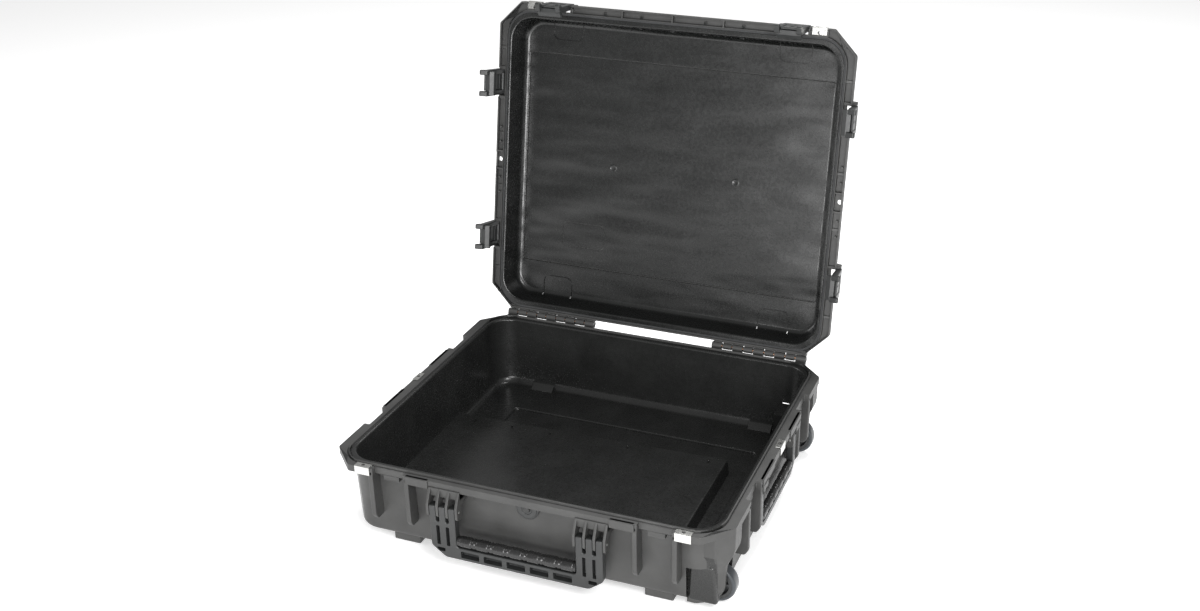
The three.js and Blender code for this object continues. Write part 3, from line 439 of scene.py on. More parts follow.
def hinge_teeth(owner):
    """Teeth of both hinge groups: a round barrel around the pin on a short arm."""
    first, width, gap, pitch, count = 118, 19, 2, 40, 5
    is_base = owner == "base"
    y, z, r = HINGE_Y, HINGE_Z, 6.0
    if is_base:
        arm = rounded([(y - 14, z - 12), (y - 3, z - 12, 3), (y + r, z - 1, 2), (y + r, z), (y - r, z),
                       (y - r, z - 4), (y - 14, z - 4)])
    else:
        arm = rounded([(y - 14, z + 12), (y - 14, z + 2), (y - r, z), (y + r, z), (y + r, z + 1, 2),
                       (y - 3, z + 12, 3)])
    solids = []
    for k in range(count if is_base else count - 1):
        low = first + k * pitch + (0 if is_base else width + gap)
        high = low + (width if is_base else pitch - width - 2 * gap)
        for side in SIDES:
            x0, x1 = sorted((side * low, side * high))
            solids.append(prism(arm, "yz", x0, x1, 0.8))
            solids.append(rod("x", r, x1 - x0, (x0 + x1) / 2, y, z, 0.8))
    up = -1 if is_base else 1
    near = 3.4 if is_base else 0.6
    web = [(y + dy, z + up * dz) for dy, dz in ((-15, 13), (-15, near), (-7.4, near), (-4, 6.2), (-4, 13))]
    for side in SIDES:
        solids.append(prism(web, "yz", *sorted((side * 119, side * 296)), soft=0.8))
    return solids


# ---- base ----
def base_rings():
    """Tub of the base from its underside, up the wall, over the rim and down to the recessed floor."""
    rings = []
    for step in range(5):
        angle = step / 4 * math.pi / 2
        inset = 11 * (1 - math.sin(angle))
        z = 24 - 10 * math.cos(angle)
        rings.append(ring(622.4 - 2 * inset, 530.4 - 2 * inset, 41 - inset * 0.8, z))
    rings += [ring(631, 540, 45.5, 139), ring(*WALL_OUT, 139), ring(*WALL_OUT, 148.6)]
    rings += [ring(637.6, 561.6, 46.8, 148.6), ring(637, 561, 46.5, 152.4), ring(636, 560, 46, 153),
              ring(632, 556, 44, 153), ring(631, 555, 43.5, 152.4), ring(630.6, 554.6, 43.3, 149),
              ring(629, 553, 42.5, 148.8), ring(628.6, 552.4, 42.3, 149.6), ring(628, 551.6, 42, RIM)]
    for step in range(5):
        angle = step / 4 * math.pi / 2
        out = 7 * (1 - math.sin(angle))
        rings.append(widened(OPENING, out, RIM - 3.5 * (1 - math.cos(angle))))
    rings.append(ring(609, 519, 38.5, 42))
    for step in range(1, 7):
        angle = step / 6 * math.pi / 2
        inset = 15 * (1 - math.cos(angle))
        rings.append(ring(607 - 2 * inset, 517 - 2 * inset, 38 - inset * 0.8, 36 - 16 * math.sin(angle)))
    cx, cy = 8.5, -20
    recess = ((477, 10, 20), (475, 9, 19.6), (473, 8, 18.2), (471, 8, 14), (469, 8, 12.6), (465, 7, 12))
    return rings + [ring(width, width - 103, radius, z, cx, cy) for width, radius, z in recess]


def tunnel_hump():
    """Raised tunnel on the floor over the tow handle's tubes, with drafted sides."""
    bm = bmesh.new()
    levels = []
    for z, draft in ((10, 0), (None, 3)):
        left, right = -314, 219 - draft
        front, back = -151 + draft, 92 - draft
        z_left, z_right = (z, z) if z else (35, 44)
        levels.append([bm.verts.new((left, front, z_left)), bm.verts.new((right, front, z_right)),
                       bm.verts.new((right, back, z_right)), bm.verts.new((left, back, z_left))])
    bm.faces.new(levels[0])
    bm.faces.new(levels[1])
    for k in range(4):
        bm.faces.new((levels[0][k], levels[0][(k + 1) % 4], levels[1][(k + 1) % 4], levels[1][k]))
    bmesh.ops.recalc_face_normals(bm, faces=bm.faces)
    soften(bm, 3.2, 4)
    return bm


def foot_bump(x0, x1):
    """Low block at the foot of the back wall, leaning back into the curve between wall and floor."""
    side = rounded([(262, 12), (237, 12), (237, 21, 1), (250, 30, 14), (259, 33), (262, 33)])
    return prism(side, "yz", x0, x1, 2)


def well_hump(side):
    """Inside of a wheel housing: a low box in the corner with a sloping top."""
    bm = bmesh.new()
    foot = ((265, 211), (312, 211), (312, 262), (265, 262))
    roof = ((266, 212, 3), (311, 212, 4), (306, 258, 5), (266, 259, 4))
    low = [bm.verts.new((x, side * y, 12)) for x, y in foot]
    high = [bm.verts.new((x, side * y, WELL_TOP + up)) for x, y, up in roof]
    bm.faces.new(low)
    bm.faces.new(high)
    for k in range(4):
        bm.faces.new((low[k], low[(k + 1) % 4], high[(k + 1) % 4], high[k]))
    bmesh.ops.recalc_face_normals(bm, faces=bm.faces)
    soften(bm, 5, 4)
    return bm


def corner_column(side):
    """Fender and cheek of a wheel corner, through sections from the flange down past the wheel."""
    sections = [
        (140, [(262, 262), (309, 265.5), (333, 243), (333, 212)]),
        (108, [(262, 262), (309, 265), (332.6, 243), (332.6, 212)]),
        (98, [(262, 262), (309, 264), (331, 243.5), (331, 212)]),
        (88, [(262, 260), (309, 261), (326, 246), (326, 212)]),
        (78, [(262, 257), (308, 257.5), (321, 248), (321, 212)]),
        (62, [(262, 256), (309, 256), (320, 248), (320, 212)]),
        (40, [(262, 256), (309, 256), (319.5, 248), (319.5, 212)]),
        (30, [(262, 256), (308, 256), (317, 248), (317, 212)]),
        (20, [(262, 256), (303, 256), (311, 248), (311, 212)]),
        (11, [(262, 256), (294, 256), (300, 248), (300, 212)]),
        (4.5, [(262, 256), (278, 256), (284, 248), (284, 212)]),
    ]
    rings = []
    for z, corners in sections:
        outline = [(262, 212)] + corners
        smooth = [(u, v) if k in (0, 1, 4) else (u, v, 5) for k, (u, v) in enumerate(outline)]
        rings.append([(u, side * v, z) for u, v in rounded(smooth, 4)])
    column = loft(rings)
    opening = rounded([(WELL_X, -2), (345, -2), (345, WELL_TOP + 2), (WELL_X, WELL_TOP + 2, 14)])
    pocket = prism(opening, "xz", *sorted((side * WELL_IN, side * WELL_OUT)), soft=0)
    inside = loft([ring(613, 524, 40, WELL_TOP + 3), ring(622, 540, 44, RIM + 1)])
    return cut(column, pocket, inside)


def base_ribs():
    """Rounded upright ribs at both sides of every latch bay, and the catch between them."""
    top = RIM - 6
    rib = rounded([(24, top), (0, top), (0, top - 80, 9), (6, top - 90, 6), (24, top - 90)])
    catch_out = NOTCH_DEPTH + 0.3
    catch = rounded([(23, RIM - 8), (catch_out, RIM - 8, 1.5), (catch_out, RIM - 20, 1.5), (9, RIM - 22),
                     (23, RIM - 22)])
    solids = []
    for x, y, turn in BAYS.values():
        place = bay_matrix(x, y, turn)
        for side in SIDES:
            solids.append((prism(rib, "yz", side * BAY_HALF - 4, side * BAY_HALF + 4, 1.6), place))
        solids.append((prism(catch, "yz", -14, 14, 0.8), place))
    return solids


def arm_width(spec):
    """Width of one arm of a handle: its fingers and the slots between them."""
    return spec["fingers"] * spec["finger"] + (spec["fingers"] - 1) * HANDLE_SLOT


def arm_centre(spec):
    """Distance of an arm's middle from the handle's middle."""
    return spec["half"] - arm_width(spec) / 2


def handle_lugs(spec):
    """Lugs between and beside the fingers of one handle arm, hanging from the flange."""
    pivot = RIM - HANDLE_DROP
    out = spec["out"]
    profile = rounded([(26, RIM - 10), (-2, RIM - 10), (-out - 7, pivot + 10, 4),
                       (-out - 7, pivot - 12, 5), (-out + 5, pivot - 16, 4), (-out + 11, pivot + 8, 4),
                       (26, pivot + 12)])
    pitch = spec["finger"] + HANDLE_SLOT
    solids = []
    for k in range(spec["fingers"] + 1):
        x = (k - spec["fingers"] / 2) * pitch
        solids.append(prism(profile, "yz", x - 2.25, x + 2.25, 0.9))
    width = (spec["fingers"] * pitch + HANDLE_SLOT) / 2 - 0.5
    solids.append(block(-width, width, -2, 26, RIM - 24, RIM - 9, 1.2))
    return together(*solids)


def base_fittings():
    """Rails along the flange's edge, feet, handle lugs and the ribs under the hinge."""
    solids = []
    for side in SIDES:
        rail, foot = side * 171, side * 217.5
        solids.append(block(rail - 20, rail + 20, FLANGE_FRONT - 2, FLANGE_FRONT + 5, RIM - 14, RIM, 1))
        x0, x1 = sorted((side * (FLANGE_X - 5), side * (FLANGE_X + 2)))
        for y in (-79, 79):
            solids.append(block(x0, x1, y - 32, y + 32, RIM - 14, RIM, 1))
        for foot_y in SIDES:
            y0, y1 = sorted((foot_y * 222, foot_y * 258))
            solids.append(block(foot - 23.5, foot + 23.5, y0, y1, 0, 17, 2))
        front_arm, side_arm = side * arm_centre(FRONT_HANDLE), side * arm_centre(SIDE_HANDLE)
        solids.append((handle_lugs(FRONT_HANDLE), bay_matrix(front_arm, FLANGE_FRONT, 0)))
        solids.append((handle_lugs(SIDE_HANDLE), bay_matrix(FLANGE_X, side_arm, TURN["right"])))
    for x in (-90, -30, 30, 90):
        rib = rounded([(268.5, RIM - 8), (266.5, 58), (272, 66, 5), (FLANGE_BACK - 3, RIM - 10)])
        solids.append(prism(rib, "yz", x - 3, x + 3, 1))
    return solids


def tow_mouth():
    """Tool for the opening in the left wall that the tow handle slides through."""
    return block(-345, -286, TOW_Y - TOW_HALF - 6, TOW_Y + TOW_HALF + 6, 2, 31.5, 0)


def tow_channel(top):
    """Tool for the channel of the tow handle's tubes, open at the underside."""
    return block(-300, 214.5, -146.5, 87.5, 2, top, 0)


def build_base():
    tub = loft(base_rings())
    tools = []
    for side in SIDES:
        y0, y1 = sorted((side * WELL_IN, side * 300))
        tools.append(block(WELL_X, 345, y0, y1, -5, WELL_TOP + 2, 0))
        tools.append(prism([(278, -5), (278, 3), (307, 51), (345, 51), (345, -5)], "xz",
                           *sorted((side * CHEEK, side * 300)), soft=0))
    hump_hollow = prism([(-306, 2), (214.5, 2), (214.5, 40.5), (-306, 31.5)], "xz", -146.5, 87.5, 0)
    hump = cut(tunnel_hump(), hump_hollow, tow_mouth())
    underside = cut(block(-232, 249, -209, 169, 8, 16, 2), tow_channel(30))
    shell = cut(tub, *tools, tow_mouth(), tow_channel(13.5))
    inner = flat_ring(641, 565, 48.5)
    flange = annulus(flange_outline(FLANGE_FRONT), inner, RIM - FLANGE_HEIGHT, RIM, 1.2)
    studs = [rod("z", 1.6, 4, x, 70, 37.6 + (x + 312) * 0.017, 0.6, 12)
             for x in (-262, -188, -113, 37, 187)]
    corners = [foot_bump(-231, -187), foot_bump(206, 250), well_hump(-1), well_hump(1),
               corner_column(-1), corner_column(1)]
    whole = together(shell, flange, hump, underside, *corners, *base_ribs(), *base_fittings(),
                     *hinge_teeth("base"), *studs)
    thing = piece("case_base", whole, SHELL_OUT, "base", ["base_shell"])
    # The faces inside the tub get the smooth finish and a darker colour, which is painted shade.
    paint_inside(thing, CASE, SHELL_IN_SHADED)


def paint_inside(thing, matrix, shaded_finish):
    """Gives the faces inside the opening a smooth finish whose darker colour is painted shade inside the
    case.
    """
    thing.data.materials.append(shaded_finish)
    back = matrix.inverted()
    spin = back.to_3x3()
    for face in thing.data.polygons:
        centre = back @ face.center
        normal = (spin @ face.normal).normalized()
        inside = abs(centre.x) < 314.5 and abs(centre.y) < 277
        # smooth marks the faces that get the smooth finish and its painted shade.
        if thing.name == "case_base":
            smooth = inside and centre.z > 11.5 and not under_or_wall(centre, normal)
        else:
            smooth = inside and centre.z < LID_TOP - 2.4 and not outer_lid(centre, normal)
        face.material_index = int(smooth)


def under_or_wall(centre, normal):
    """Faces of the base's outside that the inside test would catch."""
    outward = normal.x * centre.x / 316 + normal.y * centre.y / 270
    near_wall = abs(centre.x) > 310 or abs(centre.y) > 262
    return (near_wall and outward > 0.5 and centre.z < 146) or (normal.z < -0.5 and centre.z < 45)


def outer_lid(centre, normal):
    """Faces of the lid's outside that the inside test would catch."""
    outward = normal.x * centre.x / 316 + normal.y * centre.y / 270
    return normal.z > 0.3 or outward > 0.45


# ---- lid ----
def lid_rings():
    """Lid from its top, down the outside, over its sealing face and up to its ceiling."""
    rings = []
    for step in range(6):
        angle = step / 5 * math.pi / 2
        inset = 10 * (1 - math.sin(angle))
        z = LID_TOP - 10 + 10 * math.cos(angle)
        rings.append(ring(618 - 2 * inset, 528 - 2 * inset, 42 - inset * 0.6, z))
    rings += [ring(627, 537, 44, RIM + 14), ring(*WALL_OUT, RIM + 12), ring(*WALL_OUT, LID_FACE + 0.6),
              ring(640.4, 564.4, 48.2, LID_FACE), ring(638.6, 562.6, 47.3, LID_FACE),
              ring(638, 562, 47, LID_FACE + 0.8),
              ring(638, 562, 47, RIM + 5), ring(630, 554, 43, RIM + 5),
              ring(630, 554, 43, LID_FACE + 0.8), ring(629.4, 553.4, 42.7, LID_FACE)]
    for step in range(5):
        angle = step / 4 * math.pi / 2
        out = 6 * (1 - math.sin(angle))
        rings.append(widened(OPENING, out, LID_FACE + 3 * (1 - math.cos(angle))))
    rings.append(ring(611, 528, 39.5, RIM + 36))
    for step in range(1, 7):
        angle = step / 6 * math.pi / 2
        inset = 10 * (1 - math.cos(angle))
        z = RIM + 38 + 12 * math.sin(angle)
        rings.append(ring(610 - 2 * inset, 527 - 2 * inset, 39 - inset * 0.8, z))
    cy = -2.5
    rings += [ring(589, 403, 5, RIM + 50, 0, cy), ring(588.2, 402.2, 5, RIM + 50.3, 0, cy),
              ring(588, 402, 5, RIM + 53.6, 0, cy), ring(585.2, 399.2, 5, RIM + 53.6, 0, cy),
              ring(584.8, 398.8, 5, RIM + 52.2, 0, cy), ring(583, 397, 5, RIM + 51.9, 0, cy)]
    return rings


def outline_groove(corners, width, floor, depth):
    """Tool that cuts a narrow groove along the inside of an outline, up into the lid's ceiling."""
    middle = sum((Vector(corner[:2]) for corner in corners), Vector((0, 0))) / len(corners)
    inner = []
    for u, v, radius in corners:
        step_u, step_v = math.copysign(width, u - middle.x), math.copysign(width, v - middle.y)
        inner.append((u - step_u, v - step_v, radius))
    tool = prism(rounded(corners), "xy", floor - 1, floor + depth, 0)
    return cut(tool, prism(rounded(inner), "xy", floor - 2, floor + depth + 1, 0))


def lid_grooves():
    """Grooves around the four tabs and the label field on the lid's ceiling."""
    tools = []
    for side in SIDES:
        for outer, inner in ((-275, -229), (270, 223)):
            x0, x1 = side * 217.5 - 30, side * 217.5 + 30
            corners = [(x0, outer, 1), (x1, outer, 1), (x1, inner, 12), (x0, inner, 12)]
            tools.append(outline_groove(corners, 1.8, RIM + 44, 8.2))
    label = [(-213, 113, 8), (-127, 113, 8), (-127, 161, 8), (-213, 161, 8)]
    tools.append(outline_groove(label, 1.4, RIM + 50, 3.4))
    return tools


def lid_inside_marks():
    """Two ejector marks on the lid's ceiling."""
    disc = [(0, 53), (7, 53), (7, 51.2), (6, 51), (5, 51.6), (0, 51.6)]
    return [turned(disc, 28, Matrix.Translation((x, y, RIM))) for x, y in ((-116, -1), (124, -3))]


def lid_outside():
    """Stacking pads on the lid's top and buttress ribs around its skirt."""
    solids = []
    top, high = LID_TOP - 1.5, LID_TOP + 14
    for side in SIDES:
        for y in (-180, 180):
            x = side * 170
            pad = block(x - 90, x + 90, y - 20, y + 20, top, high, 3)
            solids.append(cut(pad, block(x - 86, x + 86, y - 16, y + 16, LID_TOP, high + 1, 0)))
        solids.append(block(side * 262 - 14, side * 262 + 14, -130, 130, top, high, 3))
    rib = rounded([(26, RIM + 4), (1, RIM + 6, 2), (3, RIM + 18, 8), (26, RIM + 40)])
    spots = [(x, FLANGE_FRONT, 0.0) for x in (-130, -60, 0, 60, 130)]
    spots += [(side * FLANGE_X, y, side * math.pi / 2) for side in SIDES for y in (-210, -50, 50, 210)]
    solids += [(prism(rib, "yz", -3, 3, 1), bay_matrix(*spot)) for spot in spots]
    lug_z = RIM + LATCH_UP
    out = -LATCH_OUT - 5
    lug = rounded([(22, RIM + 4), (1, RIM + 4), (out, lug_z - 6, 3), (out, lug_z + 6, 4), (22, lug_z + 12)])
    for spot in BAYS.values():
        for side in SIDES:
            x = side * (LATCH_HALF + 3.5)
            solids.append((prism(lug, "yz", x - 3, x + 3, 0.9), bay_matrix(*spot)))
    return solids


HASPS = {
    "padlock_plate_front_left": (-HASP_X, FLANGE_FRONT, 0.0),
    "padlock_plate_front_right": (HASP_X, FLANGE_FRONT, 0.0),
    "padlock_plate_left": (-FLANGE_X, 0.0, TURN["left"]),
    "padlock_plate_right": (FLANGE_X, 0.0, TURN["right"]),
}


def hasp_pockets():
    """Tools that leave room in the lid's flange for the padlock plates."""
    half = HASP_HALF + 1
    pockets = []
    for x, y, turn in HASPS.values():
        place = bay_matrix(x, y, turn, RIM)
        pockets.append((block(-half, half, -1, BASE_HASP["over"] + 1.5, -1, 2.2, 0), place))
        if turn == TURN["front"]:
            pockets.append((block(-half, half, -8, 6.8, -1, LID_SEAT, 0), place))
    return [together(pocket) for pocket in pockets]


def lid_flange():
    """Flange of the lid: a plate with a skirt around a channel that is open towards the rim."""
    high = RIM + FLANGE_HEIGHT
    wall = flat_ring(641, 565, 48.5)
    plate = annulus(flange_outline(LID_FRONT), wall, high - 4, high, 1.2)
    whole = flange_outline(LID_FRONT, 0, False)
    skirt = annulus(whole, flange_outline(LID_FRONT, SKIRT, False), LID_FACE, high, 0.9)
    notches = []
    for spot in BAYS.values():
        notch = block(-NOTCH_HALF, NOTCH_HALF, -8, NOTCH_DEPTH, RIM - 1, high + 1, 0)
        notches.append(together((notch, bay_matrix(*spot))))
    holes = [rod("z", 4.4, 40, side * (FLANGE_X - 6), 0, high, 0) for side in SIDES]
    front_y = LID_FRONT + LID_HASP["hole_y"]
    holes += [rod("z", 3.2, 40, side * HASP_X, front_y, high, 0) for side in SIDES]
    ribs = [block(x - 1.2, x + 1.2, LID_FRONT + 1, -282, LID_FACE, high - 1, 0.3) for x in (-95, 0, 95)]
    for side in SIDES:
        x = side * HASP_X
        seat = block(x - 16, x + 16, LID_FRONT + 1, -280, RIM + LID_SEAT, high - 1, 0.6)
        ribs.append(cut(seat, rod("z", 3.2, 40, x, front_y, high, 0)))
        x0, x1 = sorted((side * 319, side * (FLANGE_X - 1)))
        ribs += [block(x0, x1, y, y + 2.4, LID_FACE, high - 1, 0.3) for y in (-18, 15.6)]
        ribs += [rod("z", 2.2, 7, side * 328, y, high - 6, 0.5, 16) for y in (-62, -34, 34, 62)]
    return [cut(plate, *holes), cut(skirt, *notches, *hasp_pockets()), *ribs]


def build_lid():
    shell = cut(loft(lid_rings()), *lid_grooves(), *hasp_pockets())
    whole = together(shell, *lid_flange(), *lid_inside_marks(), *lid_outside(), *hinge_teeth("lid"))
    thing = piece("case_lid", whole, SHELL_OUT, "lid", ["lid_shell"], LID)
    # The faces under the lid get the smooth finish and a darker colour, which is painted shade.
    paint_inside(thing, LID, LID_IN_SHADED)
    section = ((6.4, 4.9), (6.4, 4), (4, 3.3), (-4, 3.3), (-6.4, 4), (-6.4, 4.9))
    rings = [widened(RIDGE, out, RIM + height) for out, height in section]
    piece("lid_seal", loft(rings, closed=True), SEAL_RUBBER, "lid", ["lid_gasket"], LID)


# ---- latches ----
def latch_solid():
    """Latch around its pin: two arms with flared tips, a barrel, a brow and the hook."""
    arm = rounded([(-6, 4, 3), (3.6, 4, 3), (3.6, -24), (4.5, -40), (3, -62, 3),
                   (-12, -67, 3), (-13, -60, 2), (-7.5, -52, 4), (-7, -10)])
    solids = [prism(arm, "yz", *sorted((side * (LATCH_HALF - 9), side * LATCH_HALF)), soft=1.3)
              for side in SIDES]
    solids.append(rod("x", 6, 2 * LATCH_HALF, 0, 0, 0, 1.2, 28))
    brow = rounded([(-6.6, 0), (0, 0), (1, -14, 1), (-6.6, -14, 2)])
    solids.append(prism(brow, "yz", -LATCH_HALF + 2, LATCH_HALF - 2, 0.8))
    hook = rounded([(-3, -50), (4, -50, 2), (12.5, -48, 0.8), (12.5, -53, 2), (5, -57, 1.5), (-3, -57)])
    solids.append(prism(hook, "yz", -LATCH_HALF + 2, LATCH_HALF - 2, 0.7))
    return together(*solids)


def trigger_solid():
    """Lever that closes the latch's face between its arms, with a small round key mark."""
    half = LATCH_HALF - 9.6
    profile = rounded([(-6, -16.5, 1), (-1.5, -16.5, 1), (-1, -24, 4), (-3.6, -34, 6), (-4, -55, 1),
                       (-8.5, -56, 1.4), (-6.4, -46, 8), (-6, -24, 4)])
    plate = prism(profile, "yz", -half, half, 0.8)
    mark = [rod("y", 3.2, 2.4, 0, -6.4, -31, 0.3, 24), block(-1, 1, -8, -5, -40, -33, 0.3)]
    solids = [cut(plate, *mark), rod("x", 1.5, 32, 0, -3.5, -19, 0.3, 12)]
    solids += [block(-half + 1, half - 1, -4.2, -1.6, z, z + 1.6, 0.4) for z in (-40, -44, -48)]
    return together(*solids)


def build_latches():
    for name, (x, y, turn) in BAYS.items():
        lean = LEAN["side" if turn else "front"]
        place = (LID @ bay_matrix(x, y, turn, RIM + LATCH_UP) @ Matrix.Translation((0, -LATCH_OUT, 0))
                 @ Matrix.Rotation(lean, 4, "X"))
        latch = f"latch_{name}"
        trigger = f"{latch}_trigger"
        piece(f"{latch}_body", latch_solid(), LATCH_PLASTIC, latch, [latch], place)
        piece(f"{latch}_lever", trigger_solid(), LATCH_PLASTIC, trigger, [trigger], place)
        axle = rod("x", 2, 60, 0, 0, 0, 0.5, 16)
        piece(f"{latch}_axle", axle, SCREW_STEEL, "lid", [f"{latch}_pin"], place)


# ---- handles ----
def handle_solid(spec, windows):
    """Handle frame around its pins: fingered arms, lower bar with windows, core of the grip."""
    half, top, bottom, thick = spec["half"], spec["top"], spec["bottom"], spec["thick"] / 2
    inner = half - arm_width(spec)
    sill = -(spec["drop"] + spec["grip"] + 0.5)
    slot_low = -20
    fingers = []
    for k in range(spec["fingers"]):
        a = -half + k * (spec["finger"] + HANDLE_SLOT)
        fingers.append((a, a + spec["finger"]))
    left = []
    for k, (a, b) in enumerate(fingers):
        if k > 0:
            left.append((a, slot_low, 2))
        left += [(a, top, 3), (b, top, 3)]
        if k < len(fingers) - 1:
            left.append((b, slot_low, 2))
    right = [(-u, v, r) for u, v, r in reversed(left)]
    outline = left + [(-inner, sill, 5), (inner, sill, 5)] + right
    outline += [(half, 18 - bottom, 8), (half - 24, -bottom, 12)]
    outline += [(-half + 24, -bottom, 12), (-half, 18 - bottom, 8)]
    frame_body = prism(rounded(outline, 4), "xz", -thick, thick, 1.8)
    tools = []
    if windows:
        pitch = (2 * inner - 6) / windows
        for k in range(windows):
            x = (k - (windows - 1) / 2) * pitch
            wide = pitch / 2 - 4
            tools.append(block(x - wide, x + wide, -thick - 3, thick - 4, 5 - bottom, sill - 5, 1.5, 2))
        for side in SIDES:
            for k in range(1, spec["fingers"]):
                x = side * arm_centre(spec) + (k - spec["fingers"] / 2) * (spec["finger"] + HANDLE_SLOT)
                tools.append(block(x - 3, x + 3, -thick - 3, thick - 4, -62, -27, 1.5, 2))
            x = side * (half - 17)
            tools.append(block(x - 7, x + 7, -thick - 3, thick - 4, -74, -67, 1.5, 2))
    core = rod("x", spec["grip"] - 4.5, 2 * inner + 4, 0, 0, -spec["drop"], 0.4)
    return together(cut(frame_body, *tools), core)


def grip_solid(spec):
    """Ribbed sleeve: barrels with narrow waists between them."""
    length = 2 * (spec["half"] - arm_width(spec)) - 2
    rings = round(length / 30)
    grip, bore = spec["grip"], spec["grip"] - 4
    profile = [(bore, 0), (grip - 1.6, 0), (grip - 1, 0.8)]
    for k in range(rings):
        start, end = (k + 0.14) * length / rings, (k + 0.86) * length / rings
        profile += [(grip - 1.2, start), (grip - 0.4, start + 0.8), (grip, start + 2.4),
                    (grip, end - 2.4), (grip - 0.4, end - 0.8), (grip - 1.2, end)]
        if k < rings - 1:
            middle = (k + 1) * length / rings
            profile += [(grip - 1.2, middle - 2.2), (grip - 0.5, middle - 1), (grip - 0.5, middle + 1),
                        (grip - 1.2, middle + 2.2)]
    profile += [(grip - 1, length - 0.8), (grip - 1.6, length), (bore, length)]
    return turned(profile, 28, Matrix.Translation((-length / 2, 0, -spec["drop"])) @ TO_AXIS["x"])


def build_handles():
    pivot_z = RIM - HANDLE_DROP
    front = bay_matrix(0, FLANGE_FRONT - FRONT_HANDLE["out"], 0, pivot_z)
    right = bay_matrix(FLANGE_X + SIDE_HANDLE["out"], 0, TURN["right"], pivot_z)
    for name, spec, place, windows, pins in (
        ("front_handle", FRONT_HANDLE, front, 5, ("left", "right")),
        ("side_handle", SIDE_HANDLE, right, 0, ("front", "rear")),
    ):
        matrix = CASE @ place
        bail = handle_solid(spec, windows)
        piece(f"{name}_bail", bail, LATCH_PLASTIC, name, [f"{name}_frame"], matrix)
        piece(f"{name}_sleeve", grip_solid(spec), GRIP_RUBBER, name, [f"{name}_grip"], matrix)
        for side, label in zip(SIDES, pins):
            length = arm_width(spec) + 2 * HANDLE_SLOT
            pin = rod("x", 2, length, side * arm_centre(spec), 0, 0, 0.5, 16)
            node = f"{name}_pin_{label}"
            piece(f"{name}_axle_{label}", pin, SCREW_STEEL, "base", [node], matrix)


# ---- wheels ----
def build_wheels():
    half = WHEEL_W / 2
    for name, side in (("front_wheel", -1), ("rear_wheel", 1)):
        place = (CASE @ Matrix.Translation((WHEEL_X, side * WHEEL_Y, WHEEL_Z))
                 @ Matrix.Rotation(math.pi / 2 * -side, 4, "X"))
        outer, inner = WHEEL_R, 26.3
        tyre = turned([(inner, -half), (outer - 2.5, -half), (outer - 1, -half + 1),
                       (outer, -half + 3.5), (outer, half - 3.5), (outer - 1, half - 1),
                       (outer - 2.5, half), (inner, half)], 56)
        piece(f"{name}_tread", tyre, WHEEL_RUBBER, name, [f"{name}_tyre"], place)
        solids = [
            turned([(21, -half), (26, -half), (26, half), (21, half), (20.5, half - 3),
                    (20.5, -half + 3)], 48),
            turned([(4.3, -half), (8.5, -half), (9.5, -half + 1), (9.5, half - 1), (8.5, half),
                    (4.3, half)], 32),
            turned([(4.3, -1.5), (22, -1.5), (22, 1.5), (4.3, 1.5)], 32),
        ]
        for k in range(5):
            spoke = block(6, 23, -2, 2, -half + 1.5, half - 1.5, 0.8)
            solids.append((spoke, Matrix.Rotation(2 * math.pi * k / 5, 4, "Z")))
        piece(f"{name}_spokes", together(*solids), HUB_PLASTIC, name, [f"{name}_hub"], place)
        head = CHEEK - WHEEL_Y + 0.3
        screw = turned([(0, -14), (3.6, -14), (4, -13.6), (4, head), (6, head), (5.7, head + 1.2),
                        (4.6, head + 2.2), (2.4, head + 2.8), (0, head + 3)], 28)
        slots = [block(-u, u, -v, v, head + 1, head + 5, 0) for u, v in ((2.6, 0.55), (0.55, 2.6))]
        piece(f"{name}_screw", cut(screw, *slots), SCREW_STEEL, "base", [f"{name}_axle"], place)


# ---- small fittings ----
def plate_solid(spec, drop):
    """Folded steel plate with a padlock hole."""
    over = spec["over"]
    profile = rounded([(over, 0.3), (over, 1.5), (-1.5, 1.5, 1.1), (-1.5, -drop), (-0.3, -drop),
                       (-0.3, 0.3)])
    plate = prism(profile, "yz", -HASP_HALF, HASP_HALF, 0.25, 2)
    return cut(plate, rod("z", spec["hole"], 6, 0, spec["hole_y"], 1, 0))


def build_fittings():
    for name, (x, y, turn) in HASPS.items():
        place = CASE @ bay_matrix(x, y, turn, RIM)
        plate = plate_solid(BASE_HASP, FLANGE_HEIGHT + 1)
        piece(f"{name}_steel", plate, STEEL, "base", [name], place)
    for side, label in zip(SIDES, ("left", "right")):
        place = (LID @ bay_matrix(side * HASP_X, LID_FRONT, 0, RIM + LID_SEAT)
                 @ Matrix.Rotation(math.pi, 4, "Y"))
        plate = plate_solid(LID_HASP, FLANGE_HEIGHT - LID_SEAT)
        piece(f"lid_plate_{label}_steel", plate, STEEL, "lid", [f"lid_plate_{label}"], place)
        wire = rod("x", 2.4, 178, side * 207.5, HINGE_Y, HINGE_Z, 0.5, 16)
        piece(f"hinge_wire_{label}", wire, COPPER, "base", [f"hinge_pin_{label}"])


def build_valve():
    valve = CASE @ Matrix.Translation((9, -270.5, RIM - 26)) @ Matrix.Rotation(math.pi / 2, 4, "X")
    plate = turned([(5.3, 0.3), (19, 0.3), (19, 2.4), (18, 3.2), (16.6, 3.4), (16, 4.6), (15, 5), (9, 5),
                    (8, 4), (5.3, 4)], 40)
    piece("valve_plate", plate, LATCH_PLASTIC, "base", ["pressure_valve_ring"], valve)
    core = turned([(0, -8), (8.5, -8), (8.5, 0), (5, 0), (5, 6), (4.4, 6.6), (0, 6.8)], 28)
    piece("valve_knob", core, GRIP_RUBBER, "base", ["pressure_valve_core"], valve)


